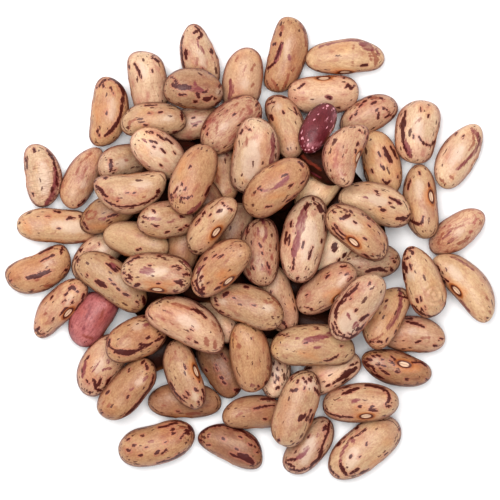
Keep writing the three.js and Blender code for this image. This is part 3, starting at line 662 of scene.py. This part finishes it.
FIRST_SEED = 1000                   # of the first bean; each has its own
OWN_THICKNESS = (0.95, 1.05)        # how far beans differ by chance
OWN_TAPER = (-0.03, 0.03)
OWN_BEND = (-0.012, 0.02)
OWN_WARP = (-0.02, 0.02)
OWN_SHADE = (-0.4, 0.4)
LUMPS = (5, 0.13, 5, 12)            # how many, how high, and their shortest and longest wave
EYE_SIZE = (1.25, 0.68)             # half the hollow at the hilum, along and across
EYE_DEPTH = 0.16
RIM_HEIGHT = 0.07
FACING = 0.42                       # how far up the skin has to face to carry a mark's points
UNDERSIDE = -0.35                   # below this facing no mark goes on
THINNEST = 0.22                     # half width that every stroke keeps
NARROWER = 0.35                     # how much of it a stroke loses towards its ends
NO_MARK = 2.0                       # distance that stands for no mark at all
FLECKED = (0.08, 0.26, 0.30)        # how many cells have a fleck: everywhere, more on flanks and tips
PEPPERED = 0.8                      # how many more where the pepper mark lies
MAP_USED = 0.94                     # share of its square of the map that a bean fills


def lumps(p, rng, count, amount, low, high):
    """A few broad waves of random direction over the bean: gentle dents and swellings."""
    out = np.zeros(len(p))
    for _ in range(count):
        way = rng.normal(size=3)
        way /= np.linalg.norm(way)
        out += np.sin(p @ way * 2 * math.pi / rng.uniform(low, high) + rng.uniform(0, 6.3))
    return amount * out / math.sqrt(count)


def shaped(points, row, rng):
    """The points of a copied bean, in millimetres, in its row's size and its own uneven shape."""
    length, width = row.length, row.width
    grown = (length / LENGTH, width / WIDTH, width / WIDTH * rng.uniform(*OWN_THICKNESS))
    p = points / MM * grown
    t = p[:, 0] / (length / 2)
    taper = row.taper + rng.uniform(*OWN_TAPER)
    p[:, 1:] *= (1 + taper * t)[:, None]
    bend = row.bend + rng.uniform(*OWN_BEND)
    p[:, 1] += bend * width * (1 - 3 * t * t)
    p[:, 2] += rng.uniform(*OWN_WARP) * width * (1 - 3 * t * t)
    out = p / np.array([(length / 2) ** 2, (width / 2) ** 2, (width * THICKNESS / 2) ** 2])
    out /= np.linalg.norm(out, axis=1)[:, None]
    swell = lumps(p, rng, *LUMPS)
    if row.form == "rough":
        around = np.hypot(p[:, 0] - 3.1, p[:, 1] - 1.5)
        ripple = 0.17 * np.sin(around * 2 * math.pi / 1.05 + 0.8 * np.sin(p[:, 1]))
        swell += ripple * np.exp(-(around / 2.6) ** 4)
    if row.wrinkle:
        upper = np.clip(2.5 * p[:, 2] / width, 0, 1)
        wave = p[:, 0] + 0.35 * np.sin(1.3 * p[:, 1] + 1) + 0.2 * np.sin(2.9 * p[:, 1])
        swell += 0.07 * row.wrinkle * upper * np.sin(wave * 2 * math.pi / 1.2)
    eye = np.hypot((p[:, 0] - row.eye) / EYE_SIZE[0], p[:, 2] / EYE_SIZE[1])
    rim = np.exp(-((eye - 1.35) / 0.3) ** 2)
    hollow = np.where(p[:, 1] < 0, np.exp(-eye ** 4) * EYE_DEPTH - rim * RIM_HEIGHT, 0)
    p += out * (swell - hollow)[:, None]
    return p, out


def strokes(label):
    """The marks of a bean: kind, half width and points, in millimetres in the heap's frame."""
    for mark in marks[label].split(",") if label in marks else ():
        words = mark.split()
        if words[0] in KINDS:
            kind = words.pop(0)
        wide, *at = map(float, words)
        at = np.array(at).reshape(-1, 2) * STEP
        at = np.stack([at[:, 0] - SQUARE / 2, SQUARE / 2 - at[:, 1]], axis=1)
        yield kind, wide * STEP / 2, at


def depth_of(points, path, half):
    """How far each point is outside a stroke: negative inside it. The stroke narrows at its ends."""
    best = np.full(len(points), 9.0)
    for i in range(len(path) - 1):
        start, leg = path[i], path[i + 1] - path[i]
        s = np.clip((points - start) @ leg / max(leg @ leg, 1e-9), 0, 1)
        away = np.linalg.norm(points - start - s[:, None] * leg, axis=1)
        whole = (i + s) / (len(path) - 1)
        wide = np.maximum(half * (1 - NARROWER * (2 * whole - 1) ** 2), THINNEST)
        best = np.minimum(best, away - wide)
    return best


def marks_of(row, p, out):
    """For each kind of mark, every point's distance to it over the skin."""
    fields = {kind: np.full(len(p), NO_MARK) for kind in KINDS}
    lie = turned(math.radians(row.heading), 0, math.radians(row.show))
    seen, facing = p @ lie.T, (out @ lie.T)[:, 2]
    upper = np.where(facing > FACING)[0]
    for kind, half, path in strokes(row.label):
        plan = path - np.array([row.x, row.y])
        path = []
        for at in plan:
            near = np.argsort(np.linalg.norm(seen[upper, :2] - at, axis=1))[:3]
            spot = seen[upper[near]].mean(axis=0)
            edge = np.linalg.norm(spot[:2] - at)
            path.append(np.array([at[0], at[1], spot[2]]) if edge < 0.15 else spot)
        if len(path) == 1:
            reach = (0.15 + 0.6 * half) * lie[:, 0]
            path = [path[0] - reach, path[0] + reach]
        weight = np.array([1, 1, 0.4])
        depth = depth_of(seen * weight, np.array(path) * weight, half)
        depth = np.where(facing > UNDERSIDE, depth, depth + NO_MARK)
        fields[kind] = np.minimum(fields[kind], depth)
    return fields


def copy_bean(master, row, place, turn, number):
    """A copy of a modelled bean with its own mesh, shape, marks and place."""
    rng = np.random.default_rng(FIRST_SEED + number)
    mesh = master.data.copy()
    count = len(mesh.vertices)
    points = np.empty(count * 3)
    mesh.vertices.foreach_get("co", points)
    p, out = shaped(points.reshape(-1, 3), row, rng)
    fields = marks_of(row, p, out)
    turn = turn @ turned(0, 0, math.radians(row.show - row.roll))
    laid = p @ turn.T + place
    lowest = laid[:, 2].min()
    laid[:, 2] -= lowest if row.layer == "floor" else min(lowest, 0)
    mesh.vertices.foreach_set("co", (laid * MM).ravel())
    t = p[:, 0] / (row.length / 2)
    # How far the skin turns away from facing up as the bean lies: the skins use it for painted shade towards
    # the outline and painted light just inside it, and to put more flecks on the flanks.
    steep = np.clip(1 - (out @ turn.T)[:, 2], 0, 1)
    flank = np.clip((steep - 0.2) / 0.5, 0, 1)
    tip = np.clip((np.abs(t) - 0.60) / 0.25, 0, 1)
    fleck = row.fleck * (FLECKED[0] + FLECKED[1] * flank + FLECKED[2] * tip)
    fleck += PEPPERED * np.clip(0.5 - fields.pop("pepper") / 0.9, 0, 1)
    every = {"seed": rng.uniform(0, 50), "shade": row.shade + rng.uniform(*OWN_SHADE),
             "mottle": row.mottle, "fleck": fleck, "wrinkle": row.wrinkle, "steep": steep}
    scalars = dict(fields, **{key: np.broadcast_to(value, count) for key, value in every.items()})
    p[:, 0] -= row.eye
    mesh.attributes.new("bean", "FLOAT_VECTOR", "POINT").data.foreach_set("vector", p.ravel())
    for name, values in scalars.items():
        mesh.attributes.new(name, "FLOAT", "POINT").data.foreach_set("value", np.array(values, float))
    bean = bpy.data.objects.new("bean_" + row.label, mesh)
    scene.collection.objects.link(bean)
    return bean


def share_map(beans):
    """Gives each bean its own square of the piece's map."""
    columns = math.ceil(math.sqrt(len(beans)))
    for i, bean in enumerate(beans):
        layer = bean.data.uv_layers["OFBake"]
        uv = np.empty(len(bean.data.loops) * 2)
        layer.uv.foreach_get("vector", uv)
        inset = uv.reshape(-1, 2) * MAP_USED + (1 - MAP_USED) / 2
        uv = (inset + (i % columns, i // columns)) / columns
        layer.uv.foreach_set("vector", uv.ravel())


def join_beans(name, beans):
    share_map(beans)
    bpy.ops.object.select_all(action="DESELECT")
    for bean in beans:
        bean.select_set(True)
    bpy.context.view_layer.objects.active = beans[0]
    bpy.ops.object.join()
    piece = bpy.context.active_object
    piece.name = name
    bpy.ops.object.select_all(action="DESELECT")
    return piece


# ---------------------------------------------------------------- node helpers

def rgb(r, g, b):
    """A colour from its everyday 0 to 255 values."""
    return tuple(((c / 255 + 0.055) / 1.055) ** 2.4 for c in (r, g, b)) + (1.0,)


class Draw:
    """A node tree, with short ways to place and join its nodes."""

    def __init__(self, tree, result=None):
        self.tree = tree
        self.result = result

    def feed(self, socket, value):
        if isinstance(value, bpy.types.NodeSocket):
            self.tree.links.new(value, socket)
        else:
            socket.default_value = value

    def add(self, kind, settings=(), **values):
        """Adds a node with its settings, and feeds its sockets by name."""
        node = self.tree.nodes.new(kind)
        for key, value in dict(settings).items():
            setattr(node, key, value)
        for key, value in values.items():
            self.feed(node.inputs[key.replace("_", " ")], value)
        return node

    def row(self, kind, settings, values):
        """Adds a node and feeds its sockets in their order. Returns its first output."""
        node = self.add(kind, settings)
        for socket, value in zip(node.inputs, values):
            self.feed(socket, value)
        return node.outputs[0]

    def math(self, operation, *values, clamp=False):
        return self.row("ShaderNodeMath", {"operation": operation, "use_clamp": clamp}, values)

    def times(self, *values, clamp=False):
        return self.math("MULTIPLY", *values, clamp=clamp)

    def scaled(self, value, by, more):
        return self.math("MULTIPLY_ADD", value, by, more)

    def plus(self, *values):
        return self.math("ADD", *values)

    def minus(self, *values):
        return self.math("SUBTRACT", *values)

    def size(self, value):
        return self.math("ABSOLUTE", value)

    def most(self, *values):
        return self.math("MAXIMUM", *values)

    def vector(self, operation, *values):
        return self.row("ShaderNodeVectorMath", {"operation": operation}, values)

    def ramp(self, value, start, end, low=0.0, high=1.0):
        """Smoothly from low at start to high at end."""
        settings = {"interpolation_type": "SMOOTHSTEP"}
        return self.row("ShaderNodeMapRange", settings, (value, start, end, low, high))

    def blend(self, amount, base, other, how="MIX"):
        node = self.add("ShaderNodeMix", {"data_type": "RGBA", "blend_type": how})
        for place, value in ((0, amount), (6, base), (7, other)):
            self.feed(node.inputs[place], value)
        return node.outputs[2]

    def noise(self, place, seed, scale, detail, stretch=(1, 1, 1)):
        at = self.vector("MULTIPLY", place, stretch)
        sockets = {"Vector": at, "W": seed, "Scale": scale, "Detail": detail}
        return self.add("ShaderNodeTexNoise", {"noise_dimensions": "4D"}, **sockets).outputs[0]

    def use(self, group, **values):
        """Places a node group."""
        return self.add("ShaderNodeGroup", {"node_tree": group}, **values).outputs

    def give(self, **values):
        """Joins what a node group gives, and returns its tree."""
        for key, value in values.items():
            self.tree.links.new(value, self.result.inputs[key])
        return self.tree


def group_of(name, inputs, outputs):
    """A new shader node group, ready to draw on, and its inputs by name."""
    tree = bpy.data.node_groups.new(name, "ShaderNodeTree")
    kinds = {"float": "NodeSocketFloat", "vector": "NodeSocketVector", "color": "NodeSocketColor"}
    for way, sockets in (("INPUT", inputs), ("OUTPUT", outputs)):
        for socket, kind in sockets.items():
            tree.interface.new_socket(socket, in_out=way, socket_type=kinds[kind])
    given = tree.nodes.new("NodeGroupInput")
    return Draw(tree, tree.nodes.new("NodeGroupOutput")), given.outputs


# ---------------------------------------------------------------- node groups

TONE = (0.727, 0.752, 0.74)         # how light every skin is
PALE_TONE = (0.72, 0.715, 0.70)     # how light every pale patch is
GOLD = (1.04, 0.95, 0.80, 1)        # what its golden clouds make of it
SHADE_STEP = 0.06                   # how much lighter one step of shade is


def make_ground_and_painted_shading():
    """The skin's own colour blushed in clouds, mottled, veined and streaked, with painted shade where it
    turns down and painted light where it faces up a little.
    """
    draw, given = group_of(
        "skin ground and painted shading",
        {"Place": "vector", "Seed": "float", "Shade": "float", "Mottle": "float", "Steep": "float",
         "Ground": "color", "Blush": "color", "Blotch": "color"},
        {"Color": "color"})
    place, seed, mottle = given["Place"], given["Seed"], given["Mottle"]
    cloud = draw.ramp(draw.noise(place, seed, 0.22, 1.5, (0.6, 1, 1)), 0.42, 0.66, 0, 0.5)
    # Partly painted shade: where the skin turns down as it lies it takes the blush, so the outline seen from
    # above is darker and redder; partly the edges' own pink.
    rim = draw.ramp(given["Steep"], 0.2, 0.8, 0, 0.9)
    color = draw.blend(draw.most(cloud, rim), given["Ground"], given["Blush"])
    gold = draw.ramp(draw.noise(place, draw.plus(seed, 3.1), 0.2, 1), 0.5, 0.68, 0, 0.8)
    color = draw.blend(gold, color, GOLD, "MULTIPLY")
    blotch = draw.ramp(draw.noise(place, seed, 0.8, 4, (0.5, 1, 1)), 0.50, 0.64)
    broad = draw.ramp(draw.noise(place, seed, 0.25, 1), 0.35, 0.65)
    blotch = draw.times(draw.times(blotch, broad), mottle)
    color = draw.blend(draw.times(blotch, 0.5, clamp=True), color, given["Blotch"])
    vein = draw.noise(place, draw.plus(seed, 7.3), 1.5, 3, (0.3, 1, 1))
    vein = draw.ramp(draw.size(draw.minus(vein, 0.5)), 0.045, 0.0)
    vein = draw.times(draw.times(vein, mottle), 0.30, clamp=True)
    color = draw.blend(vein, color, given["Blotch"])
    grain = draw.noise(place, seed, 3.0, 4, (0.8, 1, 1))
    streak = draw.noise(place, seed, 1.2, 3, (0.22, 1, 1))
    light = draw.scaled(grain, 0.66, 0.43)
    light = draw.scaled(streak, 0.44, light)
    # Shade steps: the bean's own lightness, and painted light and shade for beans in shadow.
    light = draw.scaled(given["Shade"], SHADE_STEP, light)
    # Painted light and shade: skin facing a little away from up is lightened, and skin turning down towards
    # the outline is darkened.
    light = draw.plus(light, draw.ramp(given["Steep"], 0.0, 0.45, 0, 0.12))
    light = draw.minus(light, draw.ramp(given["Steep"], 0.42, 0.9, 0, 0.48))
    # Darker skin, painted shade among it, comes out warmer.
    green, blue = draw.math("POWER", light, 1.3), draw.math("POWER", light, 1.42)
    warm = draw.add("ShaderNodeCombineXYZ", X=light, Y=green, Z=blue).outputs[0]
    warm = draw.vector("MULTIPLY", warm, TONE)
    return draw.give(Color=draw.vector("MULTIPLY", color, warm))


def make_flecks():
    """Small flecks drawn out along the bean, each cell with a fleck or without."""
    draw, given = group_of(
        "flecks", {"Place": "vector", "Seed": "float", "Amount": "float", "Scale": "float"},
        {"Mask": "float"})
    away = draw.add("ShaderNodeCombineXYZ", X=given["Seed"], Y=given["Seed"], Z=given["Seed"]).outputs[0]
    at = draw.vector("MULTIPLY", given["Place"], (0.36, 1, 1))
    at = draw.vector("ADD", at, draw.vector("MULTIPLY", away, (1.7, 2.3, 3.1)))
    rag = draw.add("ShaderNodeTexNoise", Vector=at, Scale=4.5, Detail=3).outputs["Color"]
    at = draw.vector("ADD", at, draw.vector("MULTIPLY", rag, (0.3, 0.6, 0.6)))
    cells = draw.add("ShaderNodeTexVoronoi", Vector=at, Scale=given["Scale"])
    chance = draw.add("ShaderNodeSeparateXYZ", Vector=cells.outputs["Color"])
    there = draw.math("LESS_THAN", chance.outputs["X"], given["Amount"])
    size = draw.scaled(chance.outputs["Y"], 0.24, 0.14)
    inside = draw.ramp(draw.minus(cells.outputs["Distance"], size), 0.04, -0.04)
    return draw.give(Mask=draw.times(inside, there))


def make_rim_lines_and_outline_shade():
    """Broken dark lines that follow the outline of the bean as it lies, seen from above: partly dark marks
    along its edges, partly painted shade along the outline.
    """
    draw, given = group_of(
        "rim lines and outline shade", {"Place": "vector", "Seed": "float", "Steep": "float", "Amount": "float"},
        {"Mask": "float"})
    masks = []
    for shift, middle, half in ((11.0, 0.34, 0.035), (17.0, 0.62, 0.06)):
        seed = draw.plus(given["Seed"], shift)
        bend = draw.scaled(draw.noise(given["Place"], seed, 0.35, 3), 0.5, middle - 0.25)
        away = draw.size(draw.minus(given["Steep"], bend))
        line = draw.ramp(away, half, half * 0.4)
        there = draw.scaled(given["Amount"], 0.22, draw.noise(given["Place"], seed, 0.5, 3))
        masks.append(draw.times(line, draw.ramp(there, 0.60, 0.64)))
    return draw.give(Mask=draw.most(*masks))


def make_stroke():
    """Where a mark lies, from the distance to it, with an edge made ragged along the bean."""
    draw, given = group_of(
        "stroke",
        {"Distance": "float", "Place": "vector", "Seed": "float", "Rag": "float", "Soft": "float"},
        {"Mask": "float"})
    wave = draw.noise(given["Place"], given["Seed"], 2.4, 4, (0.4, 1.4, 1.4))
    ragged = draw.scaled(draw.minus(wave, 0.5), given["Rag"], given["Distance"])
    mask = draw.ramp(ragged, given["Soft"], draw.times(given["Soft"], -1))
    return draw.give(Mask=mask)


def make_hilum():
    """The scar where the bean hung: a pale eye with a slit, a ring dark inside and an amber stain."""
    draw, given = group_of(
        "hilum", {"Place": "vector", "Seed": "float"},
        {"Eye": "float", "Slit": "float", "Ring": "float", "Halo": "float", "Stain": "float"})
    at = draw.add("ShaderNodeSeparateXYZ", Vector=given["Place"])
    wobble = draw.noise(given["Place"], given["Seed"], 1.2, 2)
    along = draw.math("DIVIDE", at.outputs["X"], 1.05)
    across = draw.math("DIVIDE", at.outputs["Z"], 0.52)
    away = draw.add("ShaderNodeVectorMath", {"operation": "LENGTH"})
    draw.feed(away.inputs[0], draw.add("ShaderNodeCombineXYZ", X=along, Y=across).outputs[0])
    away = draw.scaled(draw.minus(wobble, 0.5), 0.3, away.outputs["Value"])
    side = draw.math("LESS_THAN", at.outputs["Y"], 0.0)
    eye = draw.times(draw.ramp(away, 1.05, 0.85), side)
    slit = draw.times(draw.ramp(draw.size(at.outputs["Z"]), 0.13, 0.03), eye)
    ring = draw.times(draw.ramp(away, 1.6, 1.35), side)
    halo = draw.times(draw.ramp(away, 2.15, 1.7), side)
    stain = draw.times(draw.ramp(away, 3.6, 1.6), side)
    return draw.give(Eye=eye, Slit=slit, Ring=ring, Halo=halo, Stain=stain)


def make_relief():
    """Fine unevenness of the skin, in millimetres, with wrinkles across the bean where it has shrunk."""
    draw, given = group_of(
        "skin relief", {"Place": "vector", "Seed": "float", "Wrinkle": "float"}, {"Height": "float"})
    pores = draw.noise(given["Place"], given["Seed"], 3.0, 3)
    broad = draw.noise(given["Place"], given["Seed"], 0.55, 2)
    fold = draw.noise(given["Place"], given["Seed"], 1.0, 1, (1.7, 0.45, 0.45))
    fold = draw.size(draw.minus(fold, 0.5))
    height = draw.times(pores, 0.13)
    height = draw.scaled(broad, 0.24, height)
    height = draw.scaled(draw.times(fold, given["Wrinkle"]), 0.9, height)
    return draw.give(Height=height)


GROUND_AND_PAINTED_SHADING = make_ground_and_painted_shading()
FLECKS = make_flecks()
RIM_LINES_AND_OUTLINE_SHADE = make_rim_lines_and_outline_shade()
STROKE = make_stroke()
HILUM = make_hilum()
RELIEF = make_relief()

# ---------------------------------------------------------------- materials

INK = rgb(66, 0, 0)
FRINGE = rgb(172, 98, 84)
MAUVE = rgb(118, 50, 56)
RUST = rgb(126, 54, 38)
SPECK = rgb(226, 162, 170)      # on a maroon skin the flecks are pale
AMBER = rgb(190, 118, 66)
EYE = rgb(212, 176, 148)
RING = rgb(84, 30, 14)
HALO = rgb(150, 82, 34)
# Near-black browns of the core: painted shade seen in the gaps between the beans.
GAP_SHADE_COLORS = (rgb(30, 13, 7), rgb(46, 22, 13))
SKIN_ROUGHNESS = 0.44
SKIN_SHINE = 0.4
# Less shine on the deep skin, which is painted shade.
SHADED_BEAN_SHINE = 0.1
COAT = 0.05
COAT_ROUGHNESS = 0.3

# Skin: its ground, its blush, its blotches and its pale patches.
SKINS = {
    "cream": (rgb(218, 179, 147), rgb(200, 140, 118), rgb(176, 98, 88), rgb(228, 200, 180)),
    "sand": (rgb(211, 168, 131), rgb(194, 137, 111), rgb(173, 101, 84), rgb(226, 197, 175)),
    "tan": (rgb(210, 168, 133), rgb(191, 136, 112), rgb(172, 100, 84), rgb(228, 199, 178)),
    "khaki": (rgb(195, 153, 117), rgb(180, 130, 103), rgb(161, 98, 78), rgb(218, 188, 162)),
    "orange": (rgb(201, 152, 113), rgb(184, 124, 98), rgb(160, 86, 66), rgb(222, 188, 164)),
    "pink": (rgb(207, 161, 129), rgb(187, 127, 109), rgb(166, 89, 78), rgb(226, 193, 172)),
    "brown": (rgb(184, 135, 101), rgb(165, 109, 88), rgb(141, 76, 61), rgb(204, 160, 131)),
    "red": (rgb(188, 112, 108), rgb(146, 60, 66), rgb(126, 50, 58), rgb(224, 168, 160)),
    "maroon": (rgb(122, 46, 54), rgb(98, 30, 38), rgb(76, 22, 30), rgb(214, 140, 150)),
    # deep is painted shade: the dark brown of beans as they look in the heap's shadow, not their skin's
    # colour.
    "deep": (rgb(66, 33, 22), rgb(56, 25, 18), rgb(50, 20, 14), rgb(72, 42, 30)),
}


def bean_skin(name):
    """Skin of one colour, with everything that is drawn on it."""
    ground, blush, blotch, pale = SKINS[name]
    pale = tuple(c * t for c, t in zip(pale, PALE_TONE)) + (1.0,)
    material = bpy.data.materials.new("bean_skin_" + name)
    material.use_nodes = True
    draw = Draw(material.node_tree)
    draw.tree.nodes.clear()
    place = draw.add("ShaderNodeAttribute", {"attribute_name": "bean"}).outputs["Vector"]
    read = {key: draw.add("ShaderNodeAttribute", {"attribute_name": key}).outputs["Fac"]
            for key in KINDS[:-1] + ("seed", "shade", "mottle", "fleck", "wrinkle", "steep")}
    seed = read["seed"]

    def stroke(kind, rag, soft):
        return draw.use(STROKE, Distance=read[kind], Place=place, Seed=seed, Rag=rag, Soft=soft)["Mask"]

    def paint(mask, over, strength=None):
        nonlocal color
        mask = mask if strength is None else draw.times(mask, strength)
        color = draw.blend(mask, color, over)

    color = draw.use(GROUND_AND_PAINTED_SHADING, Place=place, Seed=seed, Shade=read["shade"], Mottle=read["mottle"],
                     Steep=read["steep"], Ground=ground, Blush=blush, Blotch=blotch)["Color"]
    hilum = draw.use(HILUM, Place=place, Seed=seed)
    paint(stroke("pale", 1.8, 0.6), pale, 0.6)
    paint(stroke("amber", 1.2, 0.8), AMBER, 0.42)
    paint(hilum["Stain"], AMBER, 0.38)
    paint(draw.ramp(read["ink"], 0.45, 0.0), FRINGE, 0.4)
    paint(stroke("rust", 1.2, 0.16), RUST, 0.7)
    faded = draw.ramp(draw.noise(place, seed, 1.6, 3, (0.25, 1.2, 1.2)), 0.36, 0.56, 0.55, 0.92)
    paint(stroke("mauve", 1.2, 0.12), MAUVE, faded)
    small = draw.use(FLECKS, Place=place, Seed=seed, Amount=read["fleck"], Scale=1.7)["Mask"]
    fewer = draw.times(read["fleck"], 0.5)
    large = draw.use(FLECKS, Place=place, Seed=seed, Amount=fewer, Scale=1.0)["Mask"]
    # Dark rim lines: partly edge marks, partly painted shade along the outline.
    lines = draw.use(RIM_LINES_AND_OUTLINE_SHADE, Place=place, Seed=seed, Steep=read["steep"], Amount=read["fleck"])["Mask"]
    flecks = draw.most(small, large)
    if name != "maroon":
        flecks = draw.most(flecks, lines)
    paint(flecks, SPECK if name == "maroon" else INK, 0.85)
    paint(stroke("ink", 1.05, 0.06), INK, 0.95)
    paint(hilum["Halo"], HALO, 0.8)
    paint(hilum["Ring"], RING)
    paint(hilum["Eye"], EYE)
    paint(hilum["Slit"], RING, 0.5)
    height = draw.use(RELIEF, Place=place, Seed=seed, Wrinkle=read["wrinkle"])["Height"]
    bump = draw.add("ShaderNodeBump", Strength=0.8, Distance=MM, Height=height)
    shader = draw.add("ShaderNodeBsdfPrincipled", Roughness=SKIN_ROUGHNESS, Normal=bump.outputs["Normal"])
    # The deep skin, painted shade, shines less.
    shader.inputs["Specular IOR Level"].default_value = SHADED_BEAN_SHINE if name == "deep" else SKIN_SHINE
    shader.inputs["Coat Weight"].default_value = COAT
    shader.inputs["Coat Roughness"].default_value = COAT_ROUGHNESS
    draw.feed(shader.inputs["Base Color"], color)
    draw.add("ShaderNodeOutputMaterial", Surface=shader.outputs[0])
    return material


def painted_gap_shade():
    """Near-black brown for the core under the heap: painted shade, so that the gaps between the beans look
    dark.
    """
    material = bpy.data.materials.new("painted_gap_shade")
    material.use_nodes = True
    draw = Draw(material.node_tree)
    place = draw.add("ShaderNodeTexCoord").outputs["Object"]
    shade_speckle = draw.add("ShaderNodeTexNoise", Vector=place, Scale=900, Detail=4).outputs[0]
    color = draw.blend(draw.ramp(shade_speckle, 0.4, 0.6), *GAP_SHADE_COLORS)
    bump = draw.add("ShaderNodeBump", Strength=0.6, Distance=MM, Height=shade_speckle)
    shader = draw.tree.nodes["Principled BSDF"]
    shader.inputs["Roughness"].default_value = 1.0
    shader.inputs["Specular IOR Level"].default_value = 0.0
    draw.feed(shader.inputs["Base Color"], color)
    draw.feed(shader.inputs["Normal"], bump.outputs["Normal"])
    return material


def plain(name, color, roughness):
    material = bpy.data.materials.new(name)
    material.use_nodes = True
    shader = material.node_tree.nodes["Principled BSDF"]
    shader.inputs["Base Color"].default_value = color
    shader.inputs["Roughness"].default_value = roughness
    return material


# ---------------------------------------------------------------- the scene

def make_camera(middle):
    """Looks straight down on the heap, with its top towards +Y."""
    camera = bpy.data.cameras.new("camera")
    camera.sensor_width = SENSOR * 1000
    camera.lens = SENSOR * 1000 * (CAMERA_HEIGHT - UPPER_BEANS) / VIEW_WIDTH
    camera.clip_start, camera.clip_end = 0.05, 20
    piece = bpy.data.objects.new("camera", camera)
    piece.location = (middle[0] * MM, middle[1] * MM, CAMERA_HEIGHT)
    scene.collection.objects.link(piece)
    scene.camera = piece


def make_lights():
    for name, place, size, power, color in LIGHTS:
        light = bpy.data.lights.new(name, "AREA")
        light.size, light.energy, light.color = size, power, color
        piece = bpy.data.objects.new(name, light)
        piece.location = place
        aim = np.array(place) / np.linalg.norm(place)
        piece.rotation_euler = (math.acos(aim[2]), 0, math.atan2(aim[1], aim[0]) + math.pi / 2)
        scene.collection.objects.link(piece)
    world = bpy.data.worlds.new("studio")
    world.use_nodes = True
    sky = world.node_tree.nodes["Background"]
    sky.inputs["Color"].default_value = SKY_COLOR
    sky.inputs["Strength"].default_value = SKY
    scene.world = world


def make_floor():
    bpy.ops.mesh.primitive_plane_add(size=FLOOR_SIZE, location=(0, 0, 0))
    floor = bpy.context.active_object
    floor.name = "floor"
    floor.data.materials.append(plain("white_table", FLOOR_COLOR, FLOOR_ROUGHNESS))
    bpy.ops.object.select_all(action="DESELECT")


def make_core():
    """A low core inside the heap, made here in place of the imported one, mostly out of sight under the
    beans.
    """
    bpy.ops.mesh.primitive_uv_sphere_add(segments=64, ring_count=32, radius=CORE_RADIUS)
    core = bpy.context.active_object
    core.name = "heap_core"
    edit_mesh(core)
    bpy.ops.mesh.select_all(action="SELECT")
    bpy.ops.mesh.bisect(plane_co=(0, 0, 0), plane_no=(0, 0, 1), use_fill=True, clear_inner=True)
    bpy.ops.mesh.select_all(action="SELECT")
    bpy.ops.transform.resize(value=CORE_SHAPE, center_override=(0, 0, 0))
    bpy.ops.transform.translate(value=(0, 0, CORE_LIFT))
    bpy.ops.object.mode_set(mode="OBJECT")
    bpy.ops.object.shade_smooth_by_angle(angle=math.radians(40))
    bpy.ops.object.select_all(action="DESELECT")
    return core


under = sum(row.layer in ("hidden", "floor") for row in rows)
levels = np.array([max(0, i - under + 1) for i in range(len(rows))])
place, turn = settle(rows, levels)

scene.view_settings.view_transform = "Standard"
scene.view_settings.look = "Medium High Contrast"
masters = {form: model_bean("bean_" + form, form, *FINE) for form in FORMS}
buried_bean = model_bean("bean_buried", "plain", *COARSE)
kinds = {name: [] for name in SKINS}
for i, row in enumerate(rows):
    out_of_sight = row.layer == "hidden" and row.skin == "deep"
    master = buried_bean if out_of_sight else masters[row.form]
    kinds[row.skin].append(copy_bean(master, row, place[i], turn[i], i))
for master in [*masters.values(), buried_bean]:
    bpy.data.objects.remove(master)

points = np.array([v.co[:] for beans in kinds.values() for bean in beans for v in bean.data.vertices])
middle = (points.min(axis=0) + points.max(axis=0)) / 2
for name, beans in kinds.items():
    piece = join_beans("beans_" + name, beans)
    piece.data.transform(Matrix.Translation((-middle[0], -middle[1], 0)))
    piece.data.materials.clear()
    piece.data.materials.append(bean_skin(name))
    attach(piece, "root")
    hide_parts("bean_heap")

core = make_core()
# The core's near-black is painted shade, seen through the gaps.
core.data.materials.append(painted_gap_shade())
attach(core, "root")
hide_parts("bean_heap")
make_camera((-middle[0] / MM, -middle[1] / MM))
make_lights()
make_floor()
